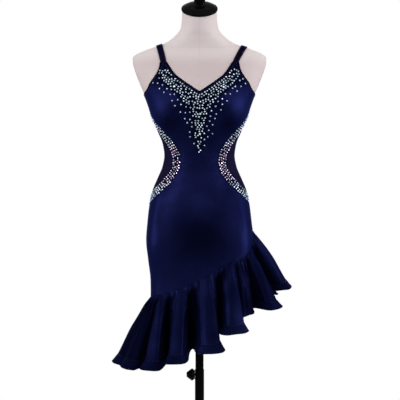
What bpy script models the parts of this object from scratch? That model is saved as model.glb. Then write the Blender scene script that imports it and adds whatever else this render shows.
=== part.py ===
"""Salsa dance dress worn by a limbless dress form on a height-adjustable stand.

Metres, +Z up. The dress faces -Y, so the wearer's right side is at -X and the left side at +X.
The origin is the middle of the base plate's underside, on the pole's axis.

Angles run round the body in degrees, seen from above: 0 at +X, 90 at the back, 180 at -X and
270 at the front. A turn is how far round a place is from the -X side, either way: 0 to 180.
"""

import math
from bisect import bisect_right
from typing import NamedTuple

import bmesh
import bpy
from mathutils import Matrix, Vector

GAP = 0.0003  # between pieces that touch
SIDE_ANGLES = {"right": 180.0, "left": 0.0}  # the wearer's sides

# Cloth
EASE = 0.0010  # from the form to the inside of the cloth
VELVET_WALL = 0.0015
NET_WALL = 0.0010
STRAP_WALL = 0.0020
STRAP_EASE = 0.0016
FLOUNCE_WALL = 0.0015

# Panels
STRAP_SEAM_FRONT = 1.355  # height of the seam between front panel and strap
STRAP_SEAM_BACK = 1.315
STRAP_TOP_OUT = {"right": 0.122, "left": 0.1355}  # from the middle to each strap's own middle on the shoulder
STRAP_STEPS = 16
COLUMN_ANGLE = 10.0  # between two lines of points down the body
FLAT_PER_DEGREE = 0.0025  # width given to a degree where a panel is laid flat
SMALLEST_CELL = 0.0015
HEM_STEPS = 90

# Flounce
FLOUNCE_SEAM = 0.0005  # between the panels' lower edge and the flounce, straight down
COLUMNS_PER_FOLD = 11
GATHERS_PER_FOLD = 3
GATHER_DEPTH = 0.0030
GATHER_FADE = 0.14  # share of the depth at which the gathers are deepest
FOLD_OVERHANG = 1.12  # above 1, a fold is wider at its crest than at its foot
CREST_BREADTH = 1.5  # above 1, a fold has a broad crest and a sharp valley
HEM_BAND = 0.12  # share of the depth that the stiffened hem takes
HEM_KICK = 0.010  # how far the hem spreads a crest's two corners
DEEP_FOLD = 0.050  # a fold this deep overhangs and spreads its corners in full, and a shallower one less
HEM_STEP = 0.55  # how far the slanting hem evens out along each crest, from 0 to 1
HEM_RISE = 0.17  # how much higher the hem is where it stands out less than its crest, as a share of that
FLOUNCE_ROWS = (0.0, 0.06, 0.15, 0.31, 0.52, 0.72, 1 - HEM_BAND, 1.0)

# Form
FORM_BOTTOM = 0.752
FORM_BOTTOM_ROUND = 0.95  # size of the lowest ring against the body there
LEVELS = sorted([FORM_BOTTOM + 0.0292 * i for i in range(20)] + [
    1.294, 1.318, 1.330, 1.346, 1.360, 1.371, 1.381, 1.390, 1.399, 1.408, 1.420, 1.436,
])
SKIRT_LEVELS = [0.652, 0.677, 0.702, 0.727]
BUST_OUT = 0.072
BUST_HEIGHT = 1.232
BUST_DEPTH = 0.024
BUST_SPREAD = (0.045, 0.038, 0.058)  # sideways, downwards, upwards

# Neck cap
CAP_RADIUS = 0.0550
CAP_RIM = 0.0070
CAP_DOME = 0.0130
FINIAL_RADIUS = 0.0170
FINIAL_HEIGHT = 0.0300

# Stand
ROUND_STEPS = 28
MAST_RADIUS = 0.0125
TUBE_WALL = 0.0012
MAST_BOTTOM = 0.170
TUBE_RADIUS = MAST_RADIUS + GAP + TUBE_WALL
TUBE_TOP = 0.4215
SOCKET_RADIUS = 0.0170
SOCKET_LENGTH = 0.050
FLANGE_RADIUS = 0.045
FLANGE_THICKNESS = 0.004
BASE_RADIUS = 0.190
BASE_THICKNESS = 0.006
BASE_COLLAR_HEIGHT = 0.050
KNOB_HEIGHT = 0.4055
KNOB_LENGTH = 0.0255
KNOB_GRIPS = 6
STUD_RADIUS = 0.0030


class Section(NamedTuple):
    """A level cut through the body: half width, middle line, and depths from it to front and back."""

    height: float
    half_width: float
    middle: float
    front: float
    back: float
    squareness: float


class NeckRing(NamedTuple):
    """A ring of the neck above the sections, tipped forwards by a tilt in degrees."""

    height: float
    middle: float
    half_width: float
    half_depth: float
    tilt: float


class EdgePoint(NamedTuple):
    """A point of a cut edge: its height, and how far out it is from the middle of the dress."""

    height: float
    out: float


class InsetEdge(NamedTuple):
    """How far round from the side, in degrees, the net inset reaches at a height."""

    height: float
    reach: float


class SkirtEnd(NamedTuple):
    """Heights of the flounce's seam and of its hem at a turn."""

    turn: float
    seam: float
    hem: float


class Fold(NamedTuple):
    """A fold of the flounce: where its crest starts and ends, and how far it and the valley after it
    stand out from the skirt at the hem. A lean above 0 tips the crest on round the body, and a swell
    above 0 makes it wider than the valley."""

    number: float
    seam_angle: float
    hem_angle: float
    crest: float
    valley: float
    lean: float
    swell: float


class FlareRow(NamedTuple):
    """The share of its spread that the flounce has at a share of its depth."""

    depth: float
    spread: float


BODY = (
    Section(0.630, 0.1460, 0.000, 0.093, 0.103, 2.20),
    Section(0.700, 0.1475, 0.000, 0.093, 0.106, 2.20),
    Section(0.760, 0.1545, 0.000, 0.094, 0.113, 2.20),
    Section(0.820, 0.1605, 0.000, 0.096, 0.120, 2.20),
    Section(0.880, 0.1560, 0.000, 0.097, 0.121, 2.20),
    Section(0.930, 0.1500, 0.000, 0.096, 0.115, 2.20),
    Section(0.970, 0.1415, 0.000, 0.093, 0.106, 2.15),
    Section(1.010, 0.1250, 0.000, 0.089, 0.097, 2.10),
    Section(1.045, 0.1105, 0.000, 0.086, 0.090, 2.10),
    Section(1.078, 0.1050, 0.000, 0.084, 0.086, 2.10),
    Section(1.115, 0.1105, 0.000, 0.086, 0.086, 2.15),
    Section(1.150, 0.1250, 0.000, 0.091, 0.089, 2.20),
    Section(1.190, 0.1420, 0.000, 0.099, 0.094, 2.30),
    Section(1.230, 0.1550, 0.000, 0.104, 0.099, 2.35),
    Section(1.265, 0.1680, 0.000, 0.102, 0.103, 2.40),
    Section(1.300, 0.1835, 0.004, 0.093, 0.101, 2.50),
    Section(1.335, 0.1965, 0.010, 0.080, 0.090, 2.60),
    Section(1.360, 0.2030, 0.014, 0.068, 0.077, 2.70),
    Section(1.374, 0.2035, 0.015, 0.060, 0.069, 2.70),
    Section(1.386, 0.1900, 0.015, 0.054, 0.063, 2.60),
    Section(1.395, 0.1700, 0.015, 0.051, 0.060, 2.50),
    Section(1.404, 0.1460, 0.015, 0.049, 0.058, 2.40),
    Section(1.413, 0.1170, 0.014, 0.049, 0.057, 2.30),
    Section(1.424, 0.0950, 0.012, 0.050, 0.056, 2.20),
    Section(1.440, 0.0735, 0.009, 0.051, 0.055, 2.10),
)
NECK = (
    NeckRing(1.456, 0.005, 0.0605, 0.0535, 5.0),
    NeckRing(1.472, 0.000, 0.0552, 0.0525, 12.0),
    NeckRing(1.489, -0.006, 0.0532, 0.0520, 20.0),
    NeckRing(1.504, -0.011, 0.0525, 0.0520, 26.0),
    NeckRing(1.516, -0.015, 0.0520, 0.0520, 30.0),
)
FRONT_ARMHOLE = (
    EdgePoint(1.2572, 1.0),
    EdgePoint(1.2750, 0.1550),
    EdgePoint(1.2920, 0.1466),
    EdgePoint(1.3120, 0.1322),
    EdgePoint(1.3265, 0.1236),
    EdgePoint(1.3440, 0.1178),
    EdgePoint(STRAP_SEAM_FRONT, 0.1165),
)
FRONT_NECKLINE = (
    EdgePoint(1.2655, 0.0),
    EdgePoint(1.2800, 0.0237),
    EdgePoint(1.2905, 0.0390),
    EdgePoint(1.3018, 0.0545),
    EdgePoint(1.3135, 0.0692),
    EdgePoint(1.3270, 0.0808),
    EdgePoint(1.3402, 0.0893),
    EdgePoint(STRAP_SEAM_FRONT, 0.0980),
)
BACK_ARMHOLE = (
    EdgePoint(1.2572, 1.0),
    EdgePoint(1.2680, 0.1530),
    EdgePoint(1.2830, 0.1380),
    EdgePoint(1.2990, 0.1230),
    EdgePoint(STRAP_SEAM_BACK, 0.1130),
)
BACK_NECKLINE = (
    EdgePoint(1.2040, 0.0),
    EdgePoint(1.2065, 0.0220),
    EdgePoint(1.2160, 0.0430),
    EdgePoint(1.2340, 0.0620),
    EdgePoint(1.2600, 0.0770),
    EdgePoint(1.2880, 0.0870),
    EdgePoint(STRAP_SEAM_BACK, 0.0950),
)
INSET_EDGE = (
    InsetEdge(0.9568, 0.0),
    InsetEdge(0.9736, 15.5),
    InsetEdge(0.9888, 25.5),
    InsetEdge(1.0071, 33.5),
    InsetEdge(1.0254, 40.5),
    InsetEdge(1.0468, 43.5),
    InsetEdge(1.0712, 41.5),
    InsetEdge(1.0956, 34.5),
    InsetEdge(1.1169, 26.5),
    InsetEdge(1.1383, 18.5),
    InsetEdge(1.1566, 10.0),
    InsetEdge(1.1810, 0.0),
)
SKIRT_END = (
    SkirtEnd(0, 0.645, 0.452),
    SkirtEnd(30, 0.657, 0.446),
    SkirtEnd(54, 0.668, 0.453),
    SkirtEnd(76, 0.687, 0.481),
    SkirtEnd(97, 0.721, 0.505),
    SkirtEnd(118, 0.754, 0.564),
    SkirtEnd(134, 0.768, 0.598),
    SkirtEnd(150, 0.781, 0.621),
    SkirtEnd(165, 0.806, 0.653),
    SkirtEnd(180, 0.851, 0.684),
)
FOLDS = (
    Fold(0, 188, 188, 0.121, 0.113, 0.0, 0.03),
    Fold(1, 205, 210, 0.117, 0.105, 0.1, 0.05),
    Fold(2, 221, 231, 0.118, 0.040, 0.2, 0.08),
    Fold(3, 250, 251, 0.114, 0.028, 0.3, 0.04),
    Fold(4, 276, 278, 0.116, 0.030, 0.8, 0.12),
    Fold(5, 304, 297, 0.114, 0.044, 0.9, 0.16),
    Fold(6, 322, 318, 0.050, 0.044, 0.2, 0.00),
    Fold(7, 338, 332, 0.118, 0.042, 0.0, 0.07),
    Fold(8, 356, 355, 0.121, 0.052, 0.1, 0.05),
    Fold(9, 380, 380, 0.090, 0.036, 0.0, 0.08),
    Fold(10, 402, 400, 0.108, 0.032, -0.3, 0.11),
    Fold(11, 423, 420, 0.116, 0.030, -0.4, 0.10),
    Fold(12, 442, 440, 0.110, 0.036, -0.2, 0.13),
    Fold(13, 463, 462, 0.117, 0.030, 0.2, 0.09),
    Fold(14, 484, 485, 0.112, 0.040, 0.3, 0.12),
    Fold(15, 506, 508, 0.118, 0.060, 0.2, 0.08),
    Fold(16, 528, 530, 0.110, 0.090, 0.1, 0.05),
)
FLARE = (
    FlareRow(0.00, 0.00),
    FlareRow(0.10, 0.12),
    FlareRow(0.25, 0.28),
    FlareRow(0.50, 0.54),
    FlareRow(0.74, 0.74),
    FlareRow(0.86, 0.84),
    FlareRow(1.00, 1.00),
)


class Curve:
    """A smooth curve through a table's rows that never overshoots them. The first column places each row."""

    def __init__(self, rows, level_ends=False):
        self.rows = rows
        self.keys = [row[0] for row in rows]
        steps = list(zip(rows, rows[1:]))
        rises = [[(b[c] - a[c]) / (b[0] - a[0]) for c in range(len(a))] for a, b in steps]
        inner = [[self.level_slope(*pair) for pair in zip(*two)] for two in zip(rises, rises[1:])]
        none = [0.0] * len(rises[0])
        self.slopes = [none, *inner, none] if level_ends else [rises[0], *inner, rises[-1]]

    @staticmethod
    def level_slope(before, after):
        """The slope at a row: none at a peak, or else between the rises on its two sides."""
        return 2 * before * after / (before + after) if before * after > 0 else 0.0

    def at(self, key):
        """The row at any value of the first column."""
        i = min(max(bisect_right(self.keys, key) - 1, 0), len(self.rows) - 2)
        width = self.keys[i + 1] - self.keys[i]
        t = min(max((key - self.keys[i]) / width, 0.0), 1.0)
        values = [
            a * (1 + 2 * t) * (1 - t) ** 2
            + b * t * t * (3 - 2 * t)
            + width * t * (1 - t) * (m * (1 - t) - n * t)
            for a, b, m, n in zip(self.rows[i], self.rows[i + 1], self.slopes[i], self.slopes[i + 1])
        ]
        return type(self.rows[0])(*values)


body = Curve(BODY)
skirt_end = Curve(SKIRT_END, level_ends=True)
flare = Curve(FLARE)


def fold_curve():
    """The folds round the whole flounce, with two of the rounds before and after at the ends."""

    def shifted(fold, rounds):
        return fold._replace(
            number=fold.number + rounds * len(FOLDS),
            seam_angle=fold.seam_angle + rounds * 360,
            hem_angle=fold.hem_angle + rounds * 360,
        )

    before = [shifted(fold, -1) for fold in FOLDS[-2:]]
    after = [shifted(fold, 1) for fold in FOLDS[:2]]
    return Curve((*before, *FOLDS, *after))


folds = fold_curve()


def turn_of(angle):
    """How far round from the -X side an angle is, either way."""
    return abs((angle % 360) - 180)


def bust(x, z):
    """How far the two cups stand out in front of the chest."""
    sideways, down, up = BUST_SPREAD
    rise = (z - BUST_HEIGHT) / (up if z > BUST_HEIGHT else down)
    cups = [math.exp(-((((x - side * BUST_OUT) / sideways) ** 2 + rise**2) / 2)) for side in (-1, 1)]
    return BUST_DEPTH * sum(cups)


def body_point(angle, z, scale=1.0):
    """The point of the body at an angle and a height."""
    cut = body.at(z)
    across, along = math.cos(math.radians(angle)), math.sin(math.radians(angle))
    power = 2 / cut.squareness
    x = math.copysign(cut.half_width * abs(across) ** power, across)
    depth = cut.back if along > 0 else cut.front + bust(x, z)
    y = cut.middle + math.copysign(depth * abs(along) ** power, along)
    return Vector((x * scale, y * scale, z))


def body_level(x, y, z):
    """0 on the body, below 0 inside it and above 0 outside it."""
    cut = body.at(z)
    depth = cut.back if y > cut.middle else cut.front + bust(x, z)
    return abs(x / cut.half_width) ** cut.squareness + abs((y - cut.middle) / depth) ** cut.squareness - 1


def body_normal(point):
    """The direction straight out of the body at a point."""
    small = 0.0005
    slope = []
    for axis in range(3):
        step = Vector([small if i == axis else 0.0 for i in range(3)])
        slope.append(body_level(*(point + step)) - body_level(*(point - step)))
    return Vector(slope).normalized()


def round_from_side(edge):
    """How far round from the side, in degrees, an edge point is, measured on the body."""
    cut = body.at(edge.height)
    share = min(edge.out / cut.half_width, 1.0)
    return math.degrees(math.acos(share ** (cut.squareness / 2)))


def material(name, colour, roughness, metallic=0.0):
    """A plain material of one colour."""
    made = bpy.data.materials.get(name) or bpy.data.materials.new(name)
    made.use_nodes = True
    shader = made.node_tree.nodes["Principled BSDF"]
    shader.inputs["Base Color"].default_value = (*colour, 1.0)
    shader.inputs["Roughness"].default_value = roughness
    shader.inputs["Metallic"].default_value = metallic
    return made


def velvet():
    return material("navy_velvet", (0.008, 0.010, 0.042), 0.55)


def net():
    return material("navy_net", (0.014, 0.012, 0.045), 0.7)


def form_skin():
    return material("form_skin", (0.62, 0.53, 0.54), 0.5)


def black_steel():
    return material("black_steel", (0.010, 0.010, 0.010), 0.35, 0.6)


def black_plastic():
    return material("black_plastic", (0.008, 0.008, 0.008), 0.3)


def finish(name, bm, finish_material, smooth=True):
    """Makes a bmesh an object of the scene, with its faces pointing out."""
    bmesh.ops.recalc_face_normals(bm, faces=bm.faces)
    mesh = bpy.data.meshes.new(name)
    bm.to_mesh(mesh)
    bm.free()
    mesh.materials.append(finish_material)
    if smooth:
        mesh.shade_smooth()
        mesh.set_sharp_from_angle(angle=math.radians(40))
    made = bpy.data.objects.new(name, mesh)
    bpy.context.scene.collection.objects.link(made)
    return made


def walled(name, sheet, sides, finish_material):
    """A cloth wall on a sheet: sides gives the inner and the outer place of each of its points."""
    bm = bmesh.new()
    inner, outer = {}, {}
    for vert in sheet.verts:
        inner_place, outer_place = sides(vert)
        inner[vert] = bm.verts.new(inner_place)
        outer[vert] = bm.verts.new(outer_place)
    for face in sheet.faces:
        bm.faces.new([outer[v] for v in face.verts])
        bm.faces.new([inner[v] for v in reversed(face.verts)])
    for edge in sheet.edges:
        if edge.is_boundary:
            a, b = edge.verts
            bm.faces.new((outer[a], outer[b], inner[b], inner[a]))
    sheet.free()
    return finish(name, bm, finish_material)


def on_body(first_angle, wall):
    """For a sheet laid flat in degrees round from first_angle and height: its places on the body."""

    def sides(vert):
        point = body_point(first_angle + vert.co.x / FLAT_PER_DEGREE, vert.co.y)
        normal = body_normal(point)
        return point + normal * EASE, point + normal * (EASE + wall)

    return sides


def lies_on(edge, axis, places):
    """Whether an edge of a flat mesh runs along one of the grid's lines across an axis."""
    a, b = (v.co[axis] for v in edge.verts)
    return abs(a - b) < 1e-6 and any(abs(a - place) < 1e-6 for place in places)


def cut_flat(outline, heights):
    """A flat mesh of an outline of (degrees round, height), cut along the grid of columns and heights."""
    bm = bmesh.new()
    bm.faces.new([bm.verts.new((degrees * FLAT_PER_DEGREE, height, 0)) for degrees, height in outline])
    bm.normal_update()
    bmesh.ops.triangulate(bm, faces=bm.faces)
    columns = [COLUMN_ANGLE * i * FLAT_PER_DEGREE for i in range(1, math.ceil(180 / COLUMN_ANGLE))]
    for axis, places in ((0, columns), (1, heights)):
        across = Vector((axis == 0, axis == 1, 0))
        for place in places:
            everything = bm.verts[:] + bm.edges[:] + bm.faces[:]
            bmesh.ops.bisect_plane(bm, geom=everything, plane_co=across * place, plane_no=across, dist=1e-6)
    spare = [e for e in bm.edges if not (e.is_boundary or lies_on(e, 0, columns) or lies_on(e, 1, heights))]
    bmesh.ops.dissolve_edges(bm, edges=spare, use_verts=False)
    between = [v for v in bm.verts if not v.is_boundary and len(v.link_edges) == 2]
    bmesh.ops.dissolve_verts(bm, verts=between)
    bmesh.ops.remove_doubles(bm, verts=[v for v in bm.verts if v.is_boundary], dist=2 * GAP)
    rim = [v for v in bm.verts if v.is_boundary]
    close = bmesh.ops.find_doubles(bm, verts=bm.verts, keep_verts=rim, dist=SMALLEST_CELL)
    bmesh.ops.weld_verts(bm, targetmap=close["targetmap"])
    return bm


def half_outline(armhole, neckline):
    """One side of a panel from the net inset up: up the side, round the armhole and down the neckline."""
    inset = [(max(row.reach, 0.0), row.height) for row in INSET_EDGE]
    arm = [(round_from_side(point), point.height) for point in armhole]
    neck = [(round_from_side(point), point.height) for point in reversed(neckline)]
    return inset + arm + neck


def panel(name, first_angle, armhole, neckline):
    """A velvet panel from the side at first_angle round to the other side, down to the flounce's seam."""
    edge_degrees = math.degrees(GAP / 2 / body.at(1.2).half_width)
    hem = []
    for i in range(HEM_STEPS + 1):
        degrees = 180 * i / HEM_STEPS
        hem.append((degrees, skirt_end.at(turn_of(first_angle + degrees)).seam))
    side = half_outline(armhole, neckline)
    outline = [(180 - degrees, height) for degrees, height in side]
    outline += list(reversed(side[:-1]))
    outline = hem + outline
    squeezed = [(min(max(degrees, edge_degrees), 180 - edge_degrees), height) for degrees, height in outline]

    flat = cut_flat(squeezed, SKIRT_LEVELS + LEVELS)
    return walled(name, flat, on_body(first_angle, VELVET_WALL), velvet())


def net_inset(side):
    """The lens of net that fills the cut-out at a side, from the front panel round to the back one."""
    lowest, highest = INSET_EDGE[0].height, INSET_EDGE[-1].height
    centre, share = (lowest + highest) / 2, 1 - 4 * GAP / (highest - lowest)
    edge = [(row.reach, centre + (row.height - centre) * share) for row in INSET_EDGE]
    trim = math.degrees(GAP / body.at(centre).half_width)
    front = [(90 - max(reach - trim, 0.0), height) for reach, height in edge]
    back = [(90 + max(reach - trim, 0.0), height) for reach, height in reversed(edge[1:-1])]
    flat = cut_flat(front + back, LEVELS)
    return walled(f"net_inset_{side}", flat, on_body(SIDE_ANGLES[side] - 90, NET_WALL), net())


def ridge_height(x):
    """The height of the top of the shoulder at a distance from the middle."""
    low, high = 1.374, 1.440
    for _ in range(40):
        middle = (low + high) / 2
        low, high = (middle, high) if body.at(middle).half_width > abs(x) else (low, middle)
    return low


def strap(side):
    """A shoulder strap from the front panel's corner over the shoulder to the back panel's."""
    sign = -1 if side == "right" else 1
    front_in, front_out = FRONT_NECKLINE[-1].out, FRONT_ARMHOLE[-1].out
    back_in, back_out = BACK_NECKLINE[-1].out, BACK_ARMHOLE[-1].out
    top_out, top_half = STRAP_TOP_OUT[side], (front_out - front_in) / 2
    bm = bmesh.new()
    rings = []
    for i in range(STRAP_STEPS + 1):
        swing = math.pi * i / STRAP_STEPS
        over, at_front = math.sin(swing), i <= STRAP_STEPS / 2
        low_in, low_out = (front_in, front_out) if at_front else (back_in, back_out)
        seam = STRAP_SEAM_FRONT + GAP if at_front else STRAP_SEAM_BACK + GAP
        inner_x = low_in + (top_out - top_half - low_in) * over
        outer_x = low_out + (top_out + top_half - low_out) * over
        below, above = [], []
        for x in (inner_x, (inner_x + outer_x) / 2, outer_x):
            z = seam + (ridge_height(x) - 1e-5 - seam) * over
            cut = body.at(z)
            share = max(1 - abs(x / cut.half_width) ** cut.squareness, 0.0) ** (1 / cut.squareness)
            reach = -(cut.front + bust(x, z)) if at_front else cut.back
            point = Vector((sign * x, cut.middle + reach * share, z))
            normal = body_normal(point)
            below.append(bm.verts.new(point + normal * STRAP_EASE))
            above.append(bm.verts.new(point + normal * (STRAP_EASE + STRAP_WALL)))
        rings.append(below + above[::-1])
    for ring, after in zip(rings, rings[1:]):
        for k in range(len(ring)):
            n = (k + 1) % len(ring)
            bm.faces.new((ring[k], ring[n], after[n], after[k]))
    bm.faces.new(rings[0])
    bm.faces.new(reversed(rings[-1]))
    return finish(f"strap_{side}", bm, velvet())


def hem_point(number):
    """The point of the flounce's hem at a place counted in folds, and how its corner is spread there."""
    fold = folds.at(number)
    wave, half_wave = math.cos(2 * math.pi * number), math.sin(4 * math.pi * number)
    crest = 1 - ((1 - wave) / 2) ** CREST_BREADTH
    out = fold.valley + (fold.crest - fold.valley) * crest
    angle = fold.hem_angle
    ends = skirt_end.at(turn_of(angle))
    base = body_point(angle, ends.seam)
    pitch = folds.at(number + 0.5).hem_angle - folds.at(number - 0.5).hem_angle
    level_angle = angle - HEM_STEP * pitch * math.sin(2 * math.pi * number) / (2 * math.pi)
    deep = min((fold.crest - fold.valley) / DEEP_FOLD, 1)
    outwards = body_normal(base)
    outwards.z = 0
    outwards.normalize()
    along = Vector((-outwards.y, outwards.x, 0))
    width = math.radians(pitch) * (Vector((base.x, base.y)).length + out)
    swell = fold.swell * math.sin(2 * math.pi * number)
    slide = width * (deep * FOLD_OVERHANG * half_wave / (4 * math.pi) + swell + 0.12 * fold.lean * wave)
    point = base + outwards * out + along * slide
    point.z = skirt_end.at(turn_of(level_angle)).hem + HEM_RISE * (fold.crest - out)
    return point, along * deep * HEM_KICK * math.sin(2 * math.pi * number)


def flounce_line(number):
    """The flounce's points from its seam to its hem at a place counted in folds."""
    fold = folds.at(number)
    ends = skirt_end.at(turn_of(fold.seam_angle))
    start = body_point(fold.seam_angle, ends.seam)
    outwards = body_normal(start)
    start += outwards * (EASE + VELVET_WALL / 2)
    start.z -= FLOUNCE_SEAM
    end, kick = hem_point(number)
    gather = math.cos(2 * math.pi * GATHERS_PER_FOLD * number)
    line = []
    for depth in FLOUNCE_ROWS:
        spread = flare.at(depth).spread
        point = start.lerp(end, spread)
        point.z = start.z + (end.z - start.z) * depth
        ripple = GATHER_DEPTH * (depth / GATHER_FADE) * math.exp(1 - depth / GATHER_FADE)
        band = max(depth - 1 + HEM_BAND, 0) / HEM_BAND
        line.append(point + outwards * ripple * gather + kick * band)
    return line, outwards


def number_at(seam_angle):
    """The place, counted in folds, of an angle of the flounce's seam."""
    low, high = -1.0, float(len(FOLDS))
    for _ in range(40):
        middle = (low + high) / 2
        low, high = (middle, high) if folds.at(middle).seam_angle < seam_angle else (low, middle)
    return low


def flounce(name, first_angle, last_angle):
    """A half of the flounce, between two side seams."""
    trim = math.degrees(GAP * 0.6 / body.at(SKIRT_END[0].seam).half_width)
    first, last = number_at(first_angle + trim), number_at(last_angle - trim)
    count = round((last - first) * COLUMNS_PER_FOLD)
    lines, directions = zip(*[flounce_line(first + (last - first) * i / count) for i in range(-1, count + 2)])
    sheet = bmesh.new()
    normals = {}
    columns = []
    for i in range(1, count + 2):
        column = []
        for k, point in enumerate(lines[i]):
            vert = sheet.verts.new(point)
            down = lines[i][min(k + 1, len(lines[i]) - 1)] - lines[i][max(k - 1, 0)]
            normals[vert] = down.cross(lines[i + 1][k] - lines[i - 1][k]).normalized() if k else directions[i]
            column.append(vert)
        columns.append(column)
    for left, right in zip(columns, columns[1:]):
        for k in range(len(left) - 1):
            sheet.faces.new((left[k], left[k + 1], right[k + 1], right[k]))

    def sides(vert):
        half_wall = normals[vert] * FLOUNCE_WALL / 2
        return vert.co - half_wall, vert.co + half_wall

    return walled(name, sheet, sides, velvet())


def form_torso():
    """The form's trunk, shoulders and neck, lofted through its rings."""
    angles = [COLUMN_ANGLE * i for i in range(round(360 / COLUMN_ANGLE))]
    rings = [[body_point(a, FORM_BOTTOM, FORM_BOTTOM_ROUND) for a in angles]]
    rings += [[body_point(a, z) for a in angles] for z in [FORM_BOTTOM + 0.008] + LEVELS[1:]]
    for ring in NECK:
        tip = Matrix.Rotation(math.radians(ring.tilt), 4, "X")
        centre = Vector((0, ring.middle, ring.height))
        round_it = [(math.cos(math.radians(a)), math.sin(math.radians(a))) for a in angles]
        flat = [Vector((ring.half_width * across, ring.half_depth * along, 0)) for across, along in round_it]
        rings.append([centre + tip @ point for point in flat])
    bm = bmesh.new()
    loops = [[bm.verts.new(point) for point in ring] for ring in rings]
    for low, high in zip(loops, loops[1:]):
        for k in range(len(low)):
            n = (k + 1) % len(low)
            bm.faces.new((low[k], low[n], high[n], high[k]))
    bm.faces.new(reversed(loops[0]))
    bm.faces.new(loops[-1])
    return finish("form_torso", bm, form_skin())


def turned(name, profile, finish_material, steps=ROUND_STEPS, closed=True):
    """A piece turned round Z from a profile of (radius, height), or from a ring's whole section."""
    bm = bmesh.new()
    verts = [bm.verts.new((radius, 0, height)) for radius, height in profile]
    edges = [bm.edges.new(pair) for pair in zip(verts, verts[1:])]
    if closed:
        edges.append(bm.edges.new((verts[-1], verts[0])))
    round_it = {"axis": (0, 0, 1), "cent": (0, 0, 0), "steps": steps, "angle": 2 * math.pi, "use_merge": True}
    bmesh.ops.spin(bm, geom=verts + edges, **round_it)
    bmesh.ops.remove_doubles(bm, verts=bm.verts, dist=1e-6)
    return finish(name, bm, finish_material)


def tube(name, radius, bottom, top):
    """A round steel tube, open at both ends."""
    bore = radius - TUBE_WALL
    return turned(name, [(bore, bottom), (radius, bottom), (radius, top), (bore, top)], black_steel())


def neck_cap():
    """The dished cap on the neck, with its finial, tipped as the neck is."""
    top = NECK[-1]
    knob = CAP_RIM + CAP_DOME
    profile = [
        (0.0, 0.0),
        (CAP_RADIUS - 0.002, 0.0),
        (CAP_RADIUS, 0.002),
        (CAP_RADIUS, CAP_RIM - 0.002),
        (CAP_RADIUS - 0.003, CAP_RIM),
        (CAP_RADIUS * 0.80, CAP_RIM + CAP_DOME * 0.42),
        (CAP_RADIUS * 0.55, CAP_RIM + CAP_DOME * 0.78),
        (FINIAL_RADIUS, CAP_RIM + CAP_DOME * 0.93),
        (FINIAL_RADIUS * 0.82, knob + FINIAL_HEIGHT * 0.15),
        (FINIAL_RADIUS * 0.86, knob + FINIAL_HEIGHT * 0.35),
        (FINIAL_RADIUS, knob + FINIAL_HEIGHT * 0.60),
        (FINIAL_RADIUS * 0.88, knob + FINIAL_HEIGHT * 0.84),
        (FINIAL_RADIUS * 0.50, knob + FINIAL_HEIGHT * 0.97),
        (0.0, knob + FINIAL_HEIGHT),
    ]
    made = turned("neck_cap", profile, black_plastic(), closed=False)
    tip = Matrix.Rotation(math.radians(top.tilt), 4, "X")
    foot = Matrix.Translation((0, top.middle, top.height))
    made.matrix_world = foot @ tip @ Matrix.Translation((0, 0, GAP))
    return made


def form_socket():
    """The flange under the form, with the socket that turns on the top of the mast."""
    top = FORM_BOTTOM - GAP
    bore = MAST_RADIUS + GAP
    under = top - FLANGE_THICKNESS
    profile = [
        (0.0, top),
        (FLANGE_RADIUS, top),
        (FLANGE_RADIUS, under),
        (SOCKET_RADIUS + 0.003, under),
        (SOCKET_RADIUS, under - 0.003),
        (SOCKET_RADIUS, under - SOCKET_LENGTH),
        (bore, under - SOCKET_LENGTH),
        (bore, under),
        (0.0, under),
    ]
    return turned("form_socket", profile, black_steel(), closed=False)


def base_plate():
    """The round steel foot, flat underneath, with a rounded upper edge."""
    edge = BASE_THICKNESS * 0.5
    profile = [
        (0.0, 0.0),
        (BASE_RADIUS - 0.001, 0.0),
        (BASE_RADIUS, 0.001),
        (BASE_RADIUS, edge),
        (BASE_RADIUS - 0.002, BASE_THICKNESS * 0.85),
        (BASE_RADIUS - 0.005, BASE_THICKNESS),
        (0.0, BASE_THICKNESS),
    ]
    return turned("base_plate", profile, black_steel(), steps=48, closed=False)


def base_collar():
    """The collar on the base plate that holds the lower tube upright."""
    bottom = BASE_THICKNESS + GAP
    bore = TUBE_RADIUS + GAP
    profile = [
        (bore, bottom),
        (0.036, bottom),
        (0.036, bottom + 0.004),
        (0.024, bottom + 0.008),
        (0.020, bottom + 0.016),
        (0.019, bottom + BASE_COLLAR_HEIGHT - 0.002),
        (0.017, bottom + BASE_COLLAR_HEIGHT),
        (bore, bottom + BASE_COLLAR_HEIGHT),
    ]
    return turned("base_collar", profile, black_steel())


def lower_tube():
    """The outer tube of the stand, with the hole for the clamp's stud near its top."""
    made = tube("lower_tube", TUBE_RADIUS, BASE_THICKNESS + GAP, TUBE_TOP)
    bm = bmesh.new()
    across = Matrix.Translation((-TUBE_RADIUS, 0, KNOB_HEIGHT)) @ Matrix.Rotation(math.pi / 2, 4, "Y")
    bore = STUD_RADIUS + GAP
    size = {"radius1": bore, "radius2": bore, "depth": TUBE_RADIUS, "segments": 16}
    bmesh.ops.create_cone(bm, cap_ends=True, matrix=across, **size)
    cutter = finish("stud_hole_cutter", bm, black_steel())
    cutter.hide_render = True
    cutter.display_type = "WIRE"
    hole = made.modifiers.new("stud_hole", "BOOLEAN")
    hole.operation = "DIFFERENCE"
    hole.object = cutter
    return made


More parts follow.
